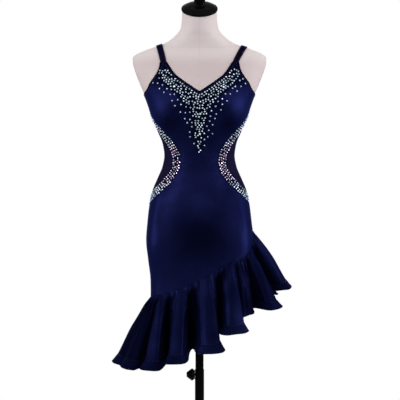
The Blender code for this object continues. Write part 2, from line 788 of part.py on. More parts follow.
def clamp_knob():
    """The hand knob that clamps the mast, with its stud through the lower tube's wall, along -X."""
    seat = TUBE_RADIUS + GAP
    profile = [
        (0.0, MAST_RADIUS + GAP),
        (STUD_RADIUS, MAST_RADIUS + GAP),
        (STUD_RADIUS, seat),
        (0.0125, seat),
        (0.0140, seat + 0.0015),
        (0.0150, seat + KNOB_LENGTH * 0.14),
        (0.0183, seat + KNOB_LENGTH * 0.26),
        (0.0186, seat + KNOB_LENGTH * 0.38),
        (0.0130, seat + KNOB_LENGTH * 0.68),
        (0.0080, seat + KNOB_LENGTH * 0.93),
        (0.0055, seat + KNOB_LENGTH),
        (0.0, seat + KNOB_LENGTH),
    ]
    made = turned("clamp_knob", profile, black_plastic(), steps=36, closed=False)
    for vert in made.data.vertices:
        radius = math.hypot(vert.co.x, vert.co.y)
        if radius > 0.0132:
            share = (radius - 0.0132) / 0.0054
            pinch = 1 - 0.10 * share * (1 - math.cos(KNOB_GRIPS * math.atan2(vert.co.y, vert.co.x))) / 2
            vert.co.x *= pinch
            vert.co.y *= pinch
    made.matrix_world = Matrix.Translation((0, 0, KNOB_HEIGHT)) @ Matrix.Rotation(-math.pi / 2, 4, "Y")
    return made


def main():
    """Clears the scene and builds every piece."""
    for old in list(bpy.data.objects):
        bpy.data.objects.remove(old)
    panel("front_panel", SIDE_ANGLES["right"], FRONT_ARMHOLE, FRONT_NECKLINE)
    panel("back_panel", SIDE_ANGLES["left"], BACK_ARMHOLE, BACK_NECKLINE)
    for side in SIDE_ANGLES:
        net_inset(side)
        strap(side)
    flounce("flounce_front", 180, 360)
    flounce("flounce_back", 360, 540)
    form_torso()
    neck_cap()
    form_socket()
    tube("mast_tube", MAST_RADIUS, MAST_BOTTOM, FORM_BOTTOM - GAP - FLANGE_THICKNESS - GAP)
    lower_tube()
    clamp_knob()
    base_plate()
    base_collar()


main()
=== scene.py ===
"""The looks of a salsa dance dress on a limbless dress form with a pole stand.

Metres, +Z up. The dress faces -Y, so the wearer's right side is at -X and the left side at +X.
Angles run round the body in degrees, seen from above: 0 at +X, 90 at the back, 180 at -X and
270 at the front. A turn is how far round a place is from the -X side, either way: 0 to 180.
"""

import logging
import math
import random
from bisect import bisect_right
from dataclasses import dataclass, field
from enum import Enum
from typing import Callable, Iterable, Iterator, NamedTuple, Optional, Sequence

import bmesh
import bpy
from mathutils import Matrix, Vector
from mathutils.kdtree import KDTree


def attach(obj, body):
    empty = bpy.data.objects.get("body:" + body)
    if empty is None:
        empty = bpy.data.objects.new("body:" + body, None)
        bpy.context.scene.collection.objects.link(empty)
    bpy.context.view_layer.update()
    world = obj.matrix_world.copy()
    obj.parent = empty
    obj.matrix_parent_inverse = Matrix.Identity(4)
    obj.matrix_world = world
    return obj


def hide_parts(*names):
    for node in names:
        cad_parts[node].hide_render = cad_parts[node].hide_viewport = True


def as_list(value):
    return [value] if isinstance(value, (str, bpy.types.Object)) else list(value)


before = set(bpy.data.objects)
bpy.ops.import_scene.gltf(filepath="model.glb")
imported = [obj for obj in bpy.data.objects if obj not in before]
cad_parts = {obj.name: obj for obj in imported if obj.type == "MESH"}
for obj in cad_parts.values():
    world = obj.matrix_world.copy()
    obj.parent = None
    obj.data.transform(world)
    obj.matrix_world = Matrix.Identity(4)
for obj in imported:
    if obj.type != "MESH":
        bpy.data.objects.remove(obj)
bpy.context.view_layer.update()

log = logging.getLogger("dance_dress")

Colour = tuple[float, float, float]
Place = tuple[Vector, Vector]  # a point, and the way straight out of the body there
Pair = tuple[Vector, Vector]  # two points, or a point and a shift
Path = list[Place]
Span = tuple[float, float]  # from a lowest value to a highest one
Spot = tuple[float, float]  # a place by two measures
Piece = bpy.types.Object
Mesh = bmesh.types.BMesh
Socket = bpy.types.NodeSocket
Outputs = bpy.types.NodeOutputs
Values = dict[str, object]  # by the names of sockets

GAP = 0.0003  # between pieces that touch
FINEST = 1e-6  # places nearer to each other than this are the same
METRES_ROUND = 0.13  # the cloth's usual distance from the dress's middle


class Named(Enum):
    """A choice whose members' names are words in the pieces' names."""

    @property
    def word(self) -> str:
        """The member's word."""
        return self.name.lower()


class Side(Named):
    """The wearer's two sides, by the sign of X."""

    RIGHT = -1
    LEFT = 1

    @property
    def angle(self) -> float:
        """The angle of the side seam."""
        return 180.0 if self is Side.RIGHT else 0.0

    def beside(self, degrees: float, half: "Half") -> float:
        """The angle some degrees round from the side seam, on the front or the back."""
        return self.angle + self.value * half.value * degrees


class Half(Named):
    """The front and the back of the dress, by the sign of Y."""

    FRONT = -1
    BACK = 1

    @property
    def start(self) -> Side:
        """The side at which its panel starts."""
        return Side.RIGHT if self is Half.FRONT else Side.LEFT


class Body(Enum):
    """The moving bodies that the pieces ride on."""

    STAND = "stand"
    KNOB = "knob"
    MAST = "mast"
    FORM = "form"


class Section(NamedTuple):
    """A level cut through the body: half width, middle line, and depths from it to front and back."""

    height: float
    half_width: float
    middle: float
    front: float
    back: float
    squareness: float


class NeckRing(NamedTuple):
    """A ring of the neck, tipped forwards by a tilt in degrees."""

    height: float
    middle: float
    half_width: float
    half_depth: float
    tilt: float


class EdgePoint(NamedTuple):
    """A point of a cut edge: its height, and how far out it is from the middle of the dress."""

    height: float
    out: float


class Reach(NamedTuple):
    """How far round from the side, in degrees, a cut edge is at a height."""

    height: float
    degrees: float


class SkirtEnd(NamedTuple):
    """Heights of the flounce's seam and of its hem at a turn."""

    turn: float
    seam: float
    hem: float


class Fold(NamedTuple):
    """A fold of the flounce: where its crest starts and ends, how far it and the valley after it stand
    out at the hem, how far it leans on round the body, and how much wider it is than the valley."""

    number: float
    seam_angle: float
    hem_angle: float
    crest: float
    valley: float
    lean: float
    swell: float


class FlareRow(NamedTuple):
    """The share of its spread that the flounce has at a share of its depth."""

    depth: float
    spread: float


class ColumnRow(NamedTuple):
    """Half widths of the crystal column down the chest, close-set and in all, at a height."""

    height: float
    close: float
    reach: float


class Crease(NamedTuple):
    """A soft ridge in the cloth: its middle, half length and half width, its slant from upright in
    degrees, and how far it stands out."""

    angle: float
    height: float
    half_length: float
    half_width: float
    slant: float
    lift: float


class Brushed(NamedTuple):
    """A patch of painted shade or of a painted highlight on the front: how far out and how high its
    middle is, its reach both ways, and its strength."""

    out: float
    height: float
    reach_out: float
    reach_up: float
    strength: float = 1.0


Edges = dict[Half, tuple[EdgePoint, ...]]  # a cut edge of the front and of the back


def table(kind: Callable, *rows: tuple) -> tuple:
    """Rows of one kind."""
    return tuple(kind(*row) for row in rows)


BODY = table(
    Section,
    (0.630, 0.1460, 0.000, 0.093, 0.103, 2.20), (0.700, 0.1475, 0.000, 0.093, 0.106, 2.20),
    (0.760, 0.1545, 0.000, 0.094, 0.113, 2.20), (0.820, 0.1605, 0.000, 0.096, 0.120, 2.20),
    (0.880, 0.1560, 0.000, 0.097, 0.121, 2.20), (0.930, 0.1500, 0.000, 0.096, 0.115, 2.20),
    (0.970, 0.1415, 0.000, 0.093, 0.106, 2.15), (1.010, 0.1250, 0.000, 0.089, 0.097, 2.10),
    (1.045, 0.1105, 0.000, 0.086, 0.090, 2.10), (1.078, 0.1050, 0.000, 0.084, 0.086, 2.10),
    (1.115, 0.1105, 0.000, 0.086, 0.086, 2.15), (1.150, 0.1250, 0.000, 0.091, 0.089, 2.20),
    (1.190, 0.1420, 0.000, 0.099, 0.094, 2.30), (1.230, 0.1550, 0.000, 0.104, 0.099, 2.35),
    (1.265, 0.1680, 0.000, 0.102, 0.103, 2.40), (1.300, 0.1835, 0.004, 0.093, 0.101, 2.50),
    (1.335, 0.1965, 0.010, 0.080, 0.090, 2.60), (1.360, 0.2030, 0.014, 0.068, 0.077, 2.70),
    (1.374, 0.2035, 0.015, 0.060, 0.069, 2.70), (1.386, 0.1900, 0.015, 0.054, 0.063, 2.60),
    (1.395, 0.1700, 0.015, 0.051, 0.060, 2.50), (1.404, 0.1460, 0.015, 0.049, 0.058, 2.40),
    (1.413, 0.1170, 0.014, 0.049, 0.057, 2.30), (1.424, 0.0950, 0.012, 0.050, 0.056, 2.20),
    (1.440, 0.0735, 0.009, 0.051, 0.055, 2.10),
)
NECK = table(
    NeckRing,
    (1.456, 0.005, 0.0605, 0.0535, 5.0), (1.472, 0.000, 0.0552, 0.0525, 12.0),
    (1.489, -0.006, 0.0532, 0.0520, 20.0), (1.504, -0.011, 0.0525, 0.0520, 26.0),
    (1.516, -0.015, 0.0520, 0.0520, 30.0),
)
STRAP_SEAMS = {Half.FRONT: 1.355, Half.BACK: 1.315}  # heights of the seams between panel and strap
ARMHOLES = {
    Half.FRONT: table(
        EdgePoint,
        (1.2572, 1.0), (1.2750, 0.1550), (1.2920, 0.1466), (1.3120, 0.1322), (1.3265, 0.1236),
        (1.3440, 0.1178), (STRAP_SEAMS[Half.FRONT], 0.1165),
    ),
    Half.BACK: table(
        EdgePoint,
        (1.2572, 1.0), (1.2680, 0.1530), (1.2830, 0.1380), (1.2990, 0.1230), (STRAP_SEAMS[Half.BACK], 0.1130),
    ),
}
NECKLINES = {
    Half.FRONT: table(
        EdgePoint,
        (1.2655, 0.0), (1.2800, 0.0237), (1.2905, 0.0390), (1.3018, 0.0545), (1.3135, 0.0692),
        (1.3270, 0.0808), (1.3402, 0.0893), (STRAP_SEAMS[Half.FRONT], 0.0980),
    ),
    Half.BACK: table(
        EdgePoint,
        (1.2040, 0.0), (1.2065, 0.0220), (1.2160, 0.0430), (1.2340, 0.0620), (1.2600, 0.0770),
        (1.2880, 0.0870), (STRAP_SEAMS[Half.BACK], 0.0950),
    ),
}
UNDER_ARM = ARMHOLES[Half.FRONT][0].height
INSET_EDGE = table(
    Reach,
    (0.9568, 0.0), (0.9736, 15.5), (0.9888, 25.5), (1.0071, 33.5), (1.0254, 40.5), (1.0468, 43.5),
    (1.0712, 41.5), (1.0956, 34.5), (1.1169, 26.5), (1.1383, 18.5), (1.1566, 10.0), (1.1810, 0.0),
)
INSET_ENDS = INSET_EDGE[0].height, INSET_EDGE[-1].height
SKIRT_END = table(
    SkirtEnd,
    (0, 0.645, 0.452), (30, 0.657, 0.446), (54, 0.668, 0.453), (76, 0.687, 0.481), (97, 0.721, 0.505),
    (118, 0.754, 0.564), (134, 0.768, 0.598), (150, 0.781, 0.621), (165, 0.806, 0.653), (180, 0.851, 0.684),
)
FOLDS = table(
    Fold,
    (0, 188, 188, 0.121, 0.113, 0.0, 0.03), (1, 205, 210, 0.117, 0.105, 0.1, 0.05),
    (2, 221, 231, 0.118, 0.040, 0.2, 0.08), (3, 250, 251, 0.114, 0.028, 0.3, 0.04),
    (4, 276, 278, 0.116, 0.030, 0.8, 0.12), (5, 304, 297, 0.114, 0.044, 0.9, 0.16),
    (6, 322, 318, 0.050, 0.044, 0.2, 0.00), (7, 338, 332, 0.118, 0.042, 0.0, 0.07),
    (8, 356, 355, 0.121, 0.052, 0.1, 0.05), (9, 380, 380, 0.090, 0.036, 0.0, 0.08),
    (10, 402, 400, 0.108, 0.032, -0.3, 0.11), (11, 423, 420, 0.116, 0.030, -0.4, 0.10),
    (12, 442, 440, 0.110, 0.036, -0.2, 0.13), (13, 463, 462, 0.117, 0.030, 0.2, 0.09),
    (14, 484, 485, 0.112, 0.040, 0.3, 0.12), (15, 506, 508, 0.118, 0.060, 0.2, 0.08),
    (16, 528, 530, 0.110, 0.090, 0.1, 0.05),
)
FLARE = table(
    FlareRow,
    (0.00, 0.00), (0.10, 0.12), (0.25, 0.28), (0.50, 0.54), (0.74, 0.74), (0.86, 0.84), (1.00, 1.00),
)
CREASES = {
    Half.FRONT: table(
        Crease,
        (222, 1.165, 0.060, 0.010, 52, 0.0014), (228, 1.140, 0.050, 0.008, 60, 0.0010),
        (318, 1.163, 0.058, 0.010, -52, 0.0013), (311, 1.138, 0.048, 0.008, -62, 0.0010),
        (236, 1.020, 0.050, 0.012, -58, 0.0012), (304, 1.012, 0.052, 0.012, 58, 0.0012),
        (215, 0.905, 0.075, 0.016, 14, 0.0016), (326, 0.900, 0.080, 0.016, -12, 0.0017),
        (250, 0.800, 0.060, 0.014, 34, 0.0012), (292, 0.842, 0.055, 0.012, -30, 0.0011),
        (262, 0.735, 0.045, 0.010, 12, 0.0010),
    ),
    Half.BACK: table(
        Crease,
        (50, 1.120, 0.050, 0.010, 55, 0.0012), (131, 1.115, 0.052, 0.010, -52, 0.0013),
        (72, 1.020, 0.046, 0.011, 64, 0.0013), (108, 1.028, 0.044, 0.010, -66, 0.0011),
        (90, 0.985, 0.040, 0.012, 86, 0.0010), (36, 0.920, 0.080, 0.016, 12, 0.0016),
        (146, 0.915, 0.078, 0.016, -14, 0.0017), (104, 0.800, 0.060, 0.014, -28, 0.0012),
        (70, 0.845, 0.055, 0.012, 24, 0.0011),
    ),
}
CRYSTAL_COLUMN = table(
    ColumnRow,
    (1.0730, 0.0010, 0.0035), (1.0880, 0.0025, 0.0070), (1.1015, 0.0030, 0.0180),
    (1.1125, 0.0065, 0.0250), (1.1370, 0.0135, 0.0370), (1.1620, 0.0165, 0.0410),
    (1.1870, 0.0175, 0.0530), (1.2115, 0.0240, 0.0690), (1.2360, 0.0450, 0.0860),
    (1.2610, 0.0600, 0.0960),
)
# Painted shade: patches that darken the velvet's colour on the front.
PAINTED_SHADE_PATCHES = table(  # on the belly, under the bust and on the hips
    Brushed, (0.0, 0.835, 0.155, 0.125), (0.088, 1.172, 0.060, 0.050), (0.080, 0.965, 0.060, 0.080, 0.6)
)
# A painted highlight: a patch that lightens the velvet's colour on the bust's outer sides.
PAINTED_HIGHLIGHT_PATCH = Brushed(0.120, 1.222, 0.046, 0.052)  # on the bust's outer sides


class Curve:
    """A smooth curve through a table's rows that never overshoots them. The first column places each row."""

    def __init__(self, rows: Sequence[tuple], level_ends: bool = False) -> None:
        """Works out the slope at each row.

        Args:
            rows: The table, with its first column rising.
            level_ends: Whether the curve runs level into its two ends.
        """
        self.rows = rows
        self.keys = [row[0] for row in rows]
        steps = list(zip(rows, rows[1:]))
        rises = [[(b[c] - a[c]) / (b[0] - a[0]) for c in range(len(a))] for a, b in steps]
        inner = [[self.level_slope(*pair) for pair in zip(*two)] for two in zip(rises, rises[1:])]
        none = [0.0] * len(rises[0])
        self.slopes = [none, *inner, none] if level_ends else [rises[0], *inner, rises[-1]]

    @staticmethod
    def level_slope(before: float, after: float) -> float:
        """The slope at a row: none at a peak, or else between the rises on its two sides."""
        return 2 * before * after / (before + after) if before * after > 0 else 0.0

    def at(self, key: float) -> tuple:
        """The row at any value of the first column.

        Args:
            key: The value.

        Returns:
            The row, of the same kind as the table's.
        """
        i = min(max(bisect_right(self.keys, key) - 1, 0), len(self.rows) - 2)
        width = self.keys[i + 1] - self.keys[i]
        t = min(max((key - self.keys[i]) / width, 0.0), 1.0)
        values = [
            a * (1 + 2 * t) * (1 - t) ** 2
            + b * t * t * (3 - 2 * t)
            + width * t * (1 - t) * (m * (1 - t) - n * t)
            for a, b, m, n in zip(self.rows[i], self.rows[i + 1], self.slopes[i], self.slopes[i + 1])
        ]
        return type(self.rows[0])(*values)

    def samples(self, count: int) -> list[tuple]:
        """Rows at even steps of the first column, from end to end."""
        return [self.at(key) for key in even_steps(self.keys[0], self.keys[-1], count)]


def even_steps(first: float, last: float, count: int) -> list[float]:
    """Values in even steps from one to another, with both."""
    return [first + (last - first) * i / count for i in range(count + 1)]


def smooth_step(value: float, low: float, high: float) -> float:
    """0 below low, 1 above high, and a soft rise between them."""
    t = min(max((value - low) / (high - low), 0.0), 1.0)
    return t * t * (3 - 2 * t)


def bell(distance: float, width: float) -> float:
    """1 at no distance, and softly falling away over a width."""
    return math.exp(-((distance / width) ** 2))


def last_where(test: Callable[[float], bool], low: float, high: float) -> float:
    """The last value between two for which a test holds, where it holds up to some value."""
    for _ in range(40):
        middle = (low + high) / 2
        low, high = (middle, high) if test(middle) else (low, middle)
    return low


def moved(path: Iterable[Place], lift: float) -> Path:
    """A path of places moved straight out of the body."""
    return [(point + normal * lift, normal) for point, normal in path]


@dataclass
class BodyShape:
    """The surface of the body that the form has and the dress lies on."""

    bust_out: float = 0.072
    bust_height: float = 1.232
    bust_depth: float = 0.024
    bust_sideways: float = 0.045
    bust_down: float = 0.038
    bust_up: float = 0.058
    ridge: Span = (1.374, 1.440)  # the lowest and highest that the shoulders' top is
    probe: float = 0.0005  # how far from a point its normal is felt out
    sections: Curve = field(default_factory=lambda: Curve(BODY))
    skirt_end: Curve = field(default_factory=lambda: Curve(SKIRT_END, level_ends=True))
    known: dict[float, Section] = field(default_factory=dict)

    def section(self, z: float) -> Section:
        """The level cut at a height, kept for the next time."""
        if z not in self.known:
            self.known[z] = self.sections.at(z)
        return self.known[z]

    def bust(self, x: float, z: float) -> float:
        """How far the two cups stand out in front of the chest."""
        rise = (z - self.bust_height) / (self.bust_up if z > self.bust_height else self.bust_down)
        beside = [(x - side.value * self.bust_out) / self.bust_sideways for side in Side]
        return self.bust_depth * sum(math.exp(-((out**2 + rise**2) / 2)) for out in beside)

    def depth(self, x: float, z: float, behind: bool) -> float:
        """How far the body reaches from its middle line, to the back or to the front."""
        cut = self.section(z)
        return cut.back if behind else cut.front + self.bust(x, z)

    def point(self, angle: float, z: float, scale: float = 1.0) -> Vector:
        """The point of the body at an angle and a height.

        Args:
            angle: The angle.
            z: The height.
            scale: The share of the level cut's size.

        Returns:
            The point.
        """
        cut = self.section(z)
        across, along = math.cos(math.radians(angle)), math.sin(math.radians(angle))
        power = 2 / cut.squareness
        x = math.copysign(cut.half_width * abs(across) ** power, across)
        y = cut.middle + math.copysign(self.depth(x, z, along > 0) * abs(along) ** power, along)
        return Vector((x * scale, y * scale, z))

    def level(self, x: float, y: float, z: float) -> float:
        """0 on the body, below 0 inside it and above 0 outside it."""
        cut = self.section(z)
        depth = self.depth(x, z, y > cut.middle)
        return abs(x / cut.half_width) ** cut.squareness + abs((y - cut.middle) / depth) ** cut.squareness - 1

    def normal(self, point: Vector) -> Vector:
        """The direction straight out of the body at a point."""
        steps = [Vector(axis) * self.probe for axis in Matrix.Identity(3)]
        rise = [self.level(*(point + step)) - self.level(*(point - step)) for step in steps]
        return Vector(rise).normalized()

    def angle_of(self, point: Vector) -> float:
        """The angle of the body's point nearest to a point beside it."""
        cut = self.section(point.z)
        half, back = cut.squareness / 2, point.y - cut.middle
        depth = self.depth(point.x, point.z, back > 0)
        across = math.copysign(abs(point.x / cut.half_width) ** half, point.x)
        return math.degrees(math.atan2(math.copysign(abs(back / depth) ** half, back), across)) % 360

    def place(self, angle: float, z: float, lift: float) -> Place:
        """A point lifted off the body, and the direction straight out of the body there."""
        point = self.point(angle, z)
        normal = self.normal(point)
        return point + normal * lift, normal

    def across(self, x: float, z: float, half: Half) -> Vector:
        """The body's point at a distance from the middle, on the front or the back."""
        cut = self.section(z)
        share = max(1 - abs(x / cut.half_width) ** cut.squareness, 0.0) ** (1 / cut.squareness)
        return Vector((x, cut.middle + half.value * self.depth(x, z, half is Half.BACK) * share, z))

    def reaches(self, edge: Sequence[EdgePoint]) -> Curve:
        """A cut edge as a curve of degrees round from the side, by height.

        Args:
            edge: The edge's points, from the lowest up.

        Returns:
            The curve.
        """
        rows = []
        for height, out in edge:
            cut = self.section(height)
            share = min(out / cut.half_width, 1.0) ** (cut.squareness / 2)
            rows.append(Reach(height, math.degrees(math.acos(share))))
        return Curve(rows)

    def ridge_height(self, x: float) -> float:
        """The height of the top of the shoulder at a distance from the middle."""
        return last_where(lambda z: self.section(z).half_width > abs(x), *self.ridge)

    def skirt_row(self, angle: float) -> SkirtEnd:
        """The heights at which the skirt ends at an angle."""
        return self.skirt_end.at(abs((angle % 360) - 180))


SHAPE = BodyShape()


class Graph:
    """A node tree that short calls fill."""

    def __init__(self, tree: bpy.types.NodeTree) -> None:
        """Takes over a node tree."""
        self.tree = tree

    def feed(self, socket: Socket, value: object) -> None:
        """Links a socket to another one, or gives it a value. Colours are made opaque."""
        if isinstance(value, Socket):
            self.tree.links.new(value, socket)
        else:
            socket.default_value = (*value, 1.0) if socket.type == "RGBA" else value

    def node(self, kind: str, inputs: Optional[dict] = None, **settings: object) -> bpy.types.Node:
        """Adds a node.

        Args:
            kind: The node's type name.
            inputs: Sockets to link, or values, by socket name or number.
            settings: The node's own settings.

        Returns:
            The new node.
        """
        made = self.tree.nodes.new(kind)
        for name, value in settings.items():
            setattr(made, name, value)
        for key, value in (inputs or {}).items():
            self.feed(made.inputs[key], value)
        return made

    def effect(self, effect: "Effect", **given: object) -> Outputs:
        """The outputs of a shared effect, placed with its own values."""
        return self.node("ShaderNodeGroup", given, node_tree=effect.tree()).outputs

    def place(self, kind: str = "Object") -> Socket:
        """The place on the object, or on its UV map."""
        return self.node("ShaderNodeTexCoord").outputs[kind]

    def attribute(self, name: str, output: str = "Fac") -> Socket:
        """An attribute of the piece's mesh."""
        return self.node("ShaderNodeAttribute", attribute_name=name).outputs[output]

    def math(self, operation: str, a: object, b: object = 0.5, clamp: bool = False) -> Socket:
        """A sum of two values or sockets."""
        return self.node("ShaderNodeMath", {0: a, 1: b}, operation=operation, use_clamp=clamp).outputs[0]

    def times(self, a: object, b: object) -> Socket:
        """One value times another."""
        return self.math("MULTIPLY", a, b)

    def most(self, first: object, *others: object) -> Socket:
        """The highest of some values."""
        for other in others:
            first = self.math("MAXIMUM", first, other)
        return first

    def away(self, value: object, middle: float = 0.0) -> Socket:
        """How far a value is from a middle."""
        return self.math("ABSOLUTE", self.math("SUBTRACT", value, middle))

    def mix(self, factor: object, a: object, b: object) -> Socket:
        """A mix of two colours."""
        return self.node("ShaderNodeMix", {0: factor, 6: a, 7: b}, data_type="RGBA").outputs[2]

    def span(self, value: object, low: float, high: float, to_low: float = 0.0, to_high: float = 1.0) -> Socket:
        """A value's range moved onto another, with what lies outside cut off."""
        inputs = {"Value": value, "From Min": low, "From Max": high, "To Min": to_low, "To Max": to_high}
        return self.node("ShaderNodeMapRange", inputs, interpolation_type="SMOOTHSTEP").outputs[0]

    def axis(self, vector: object, name: str) -> Socket:
        """One axis of a vector."""
        return self.node("ShaderNodeSeparateXYZ", {0: vector}).outputs[name]

    def noise(self, vector: object, scale: object, detail: float = 3.0) -> Socket:
        """A soft random value over a surface."""
        inputs = {"Vector": vector, "Scale": scale, "Detail": detail}
        return self.node("ShaderNodeTexNoise", inputs).outputs["Fac"]

    def bump(self, height: object, strength: float, distance: float) -> Socket:
        """A normal raised by a height."""
        inputs = {"Height": height, "Strength": strength, "Distance": distance}
        return self.node("ShaderNodeBump", inputs).outputs["Normal"]


@dataclass(frozen=True)
class Effect:
    """An effect that several finishes share: its name, the kinds of its sockets, and what fills it."""

    name: str
    inputs: dict[str, str]
    outputs: dict[str, str]
    fill: Callable[[Graph, Outputs], Values]

    def tree(self) -> bpy.types.NodeTree:
        """The effect as a node group, built once."""
        known = bpy.data.node_groups.get(self.name)
        if known:
            return known
        made = bpy.data.node_groups.new(self.name, "ShaderNodeTree")
        for direction, sockets in (("INPUT", self.inputs), ("OUTPUT", self.outputs)):
            for socket, kind in sockets.items():
                made.interface.new_socket(socket, in_out=direction, socket_type=f"NodeSocket{kind}")
        graph = Graph(made)
        entry, leave = graph.node("NodeGroupInput"), graph.node("NodeGroupOutput")
        for socket, value in self.fill(graph, entry.outputs).items():
            graph.feed(leave.inputs[socket], value)
        return made


def fill_knit(graph: Graph, given: Outputs) -> Values:
    """Fine knit cloth: two sets of waves cross, and a loop is raised where it lies on top."""
    place, loops = given["Vector"], given["Loops"]
    waves = [graph.math("SINE", graph.times(graph.axis(place, name), loops)) for name in "XY"]
    return {"Height": graph.times(*[graph.away(wave) for wave in waves])}


def fill_nap(graph: Graph, given: Outputs) -> Values:
    """Pile that lies one way here and another way there: broad patches mixed with fine long streaks."""
    patch = graph.span(graph.noise(given["Vector"], given["Scale"], 2.0), 0.36, 0.68)
    long_way = graph.node("ShaderNodeMapping", {"Vector": given["Vector"], "Scale": (9.0, 9.0, 1.2)}).outputs[0]
    streak = graph.span(graph.noise(long_way, graph.times(given["Scale"], 9.0)), 0.30, 0.72)
    mask = graph.math("ADD", graph.times(patch, 0.7), graph.times(streak, 0.3))
    return {"Colour": graph.mix(mask, given["Deep"], given["Raised"]), "Mask": mask}


def fill_dust(graph: Graph, given: Outputs) -> Values:
    """A trace of dust and rubbing on a dark surface: small specks within broad rubbed patches."""
    rubbed = graph.span(graph.noise(given["Vector"], 14.0), 0.42, 0.75)
    specks = graph.span(graph.noise(given["Vector"], 900.0, 1.0), 0.66, 0.74)
    mask = graph.times(graph.most(graph.times(rubbed, 0.35), specks), given["Amount"])
    return {"Colour": graph.mix(mask, given["Colour"], given["Dust"]), "Mask": mask}


COLOUR_AND_MASK = {"Colour": "Color", "Mask": "Float"}
KNIT = Effect("knit_loops", {"Vector": "Vector", "Loops": "Float"}, {"Height": "Float"}, fill_knit)
NAP_INPUTS = {"Vector": "Vector", "Scale": "Float", "Deep": "Color", "Raised": "Color"}
NAP = Effect("lying_nap", NAP_INPUTS, COLOUR_AND_MASK, fill_nap)
DUST_INPUTS = {"Vector": "Vector", "Amount": "Float", "Colour": "Color", "Dust": "Color"}
DUST = Effect("trace_of_dust", DUST_INPUTS, COLOUR_AND_MASK, fill_dust)


def lit(colour: Colour, light: float) -> Colour:
    """A colour made lighter or darker."""
    return tuple(value * light for value in colour)


@dataclass(frozen=True)
class Finish:
    """A finish that dresses pieces. Each kind fills the shader's changing sockets from its own nodes."""

    name: str
    roughness: float = 0.5

    def constants(self) -> Values:
        """The shader's values that are the same all over."""
        return {"Roughness": self.roughness}

    def fill(self, graph: Graph) -> Values:
        """The shader's values that change over the surface.

        Args:
            graph: The material's node tree.

        Returns:
            The values, by the names of the shader's sockets.
        """
        return {}

    def material(self) -> bpy.types.Material:
        """The finish as a material, built once."""
        known = bpy.data.materials.get(self.name)
        if known:
            return known
        made = bpy.data.materials.new(self.name)
        made.use_nodes = True
        shader, graph = made.node_tree.nodes["Principled BSDF"], Graph(made.node_tree)
        for socket, value in {**self.constants(), **self.fill(graph)}.items():
            graph.feed(shader.inputs[socket], value)
        return made


@dataclass(frozen=True)
class Cloth(Finish):
    """A cloth with a bloom of fine fibres."""

    roughness: float = 0.62
    sheen: float = 0.25
    sheen_roughness: float = 0.5
    bloom: Colour = (1.0, 0.96, 0.97)
    gloss: float = 0.25

    def constants(self) -> Values:
        """The bloom's strength, spread and tint, and the strength of the gloss."""
        return {
            **super().constants(),
            "Sheen Weight": self.sheen,
            "Sheen Roughness": self.sheen_roughness,
            "Sheen Tint": self.bloom,
            "Specular IOR Level": self.gloss,
        }


@dataclass(frozen=True)
class Velvet(Cloth):
    """Stretch velvet: nearly black in its folds, with a soft blue shine where the light skims its nap. Its
    colour also carries painted shade and a painted highlight.
    """

    deep: Colour = (0.0030, 0.0040, 0.026)
    raised: Colour = (0.0074, 0.0098, 0.055)
    roughness: float = 0.40
    sheen: float = 0.5
    sheen_roughness: float = 0.42
    bloom: Colour = (0.060, 0.085, 0.46)
    gloss: float = 0.03
    satin: float = 0.7
    satin_tint: Colour = (0.16, 0.20, 0.60)
    # Painted light: the strength of the painted patches, then the painted shade's and the painted highlight's
    # colours as shares of deep and raised.
    brushed: float = 0.8
    lying: float = 0.25
    standing: float = 1.45
    patch_scale: float = 7.0
    swing: float = 0.08  # of the roughness, either way
    loops: float = 5200.0
    loops_share: float = 0.35
    pile_scale: float = 700.0
    front_end: Span = (-0.03, 0.0)  # where along Y the painted shade and painted highlight of the front fade out
    corners: Span = (1.262, 1.300)  # the heights over which painted shade darkens the panels' corners

    def constants(self) -> Values:
        """The bloom, and the nap's satin shine."""
        return {**super().constants(), "Metallic": self.satin, "Specular Tint": self.satin_tint}

    def brushing(self, graph: Graph, place: Socket) -> tuple[Socket, Socket]:
        """Where painted shade darkens the front, and where a painted highlight lightens it.

        Args:
            graph: The finish's graph.
            place: The place on the dress.

        Returns:
            The two masks: painted shade and painted highlight. The first one also takes in the painted shade
                over the panels' corners by the straps.
        """
        out, height = graph.away(graph.axis(place, "X")), graph.axis(place, "Z")
        at_front = graph.span(graph.axis(place, "Y"), *self.front_end, 1.0, 0.0)

        def patch(row: Brushed) -> Socket:
            """One patch, full at its middle and fading to nothing at its reach."""
            beside = graph.span(graph.away(out, row.out), 0.0, row.reach_out, row.strength, 0.0)
            return graph.times(graph.span(graph.away(height, row.height), 0.0, row.reach_up, 1.0, 0.0), beside)

        # Painted shade: the panels' corners by the straps, and the patches on the belly, under the bust and on
        # the hips.
        flat = graph.most(graph.span(height, *self.corners), *[patch(row) for row in PAINTED_SHADE_PATCHES])
        return graph.times(flat, at_front), graph.times(patch(PAINTED_HIGHLIGHT_PATCH), at_front)

    def fill(self, graph: Graph) -> Values:
        """The nap's colour with painted shade and a painted highlight mixed in, the roughness that follows the
        nap, and the fine knit under it.
        """
        place, cloth = graph.place(), graph.place("UV")
        nap = graph.effect(NAP, Vector=place, Scale=self.patch_scale, Deep=self.deep, Raised=self.raised)
        knit = graph.effect(KNIT, Vector=cloth, Loops=self.loops)["Height"]
        pile = graph.math("ADD", graph.times(knit, self.loops_share), graph.noise(cloth, self.pile_scale, 4.0))
        # Painted light: the masks darken the colour with painted shade and lighten it with a painted highlight.
        flat, up = [graph.times(mask, self.brushed) for mask in self.brushing(graph, place)]
        colour = graph.mix(up, nap["Colour"], lit(self.raised, self.standing))
        # More painted shade comes from the valley attribute: in the flounce's folds and between close-set
        # crystals.
        flattened = graph.most(flat, graph.attribute("valley"))
        rough, smooth = self.roughness + self.swing, self.roughness - self.swing
        return {
            "Base Color": graph.mix(flattened, colour, lit(self.deep, self.lying)),
            "Roughness": graph.span(nap["Mask"], 0.0, 1.0, rough, smooth),
            "Normal": graph.bump(pile, 0.22, 0.0004),
        }


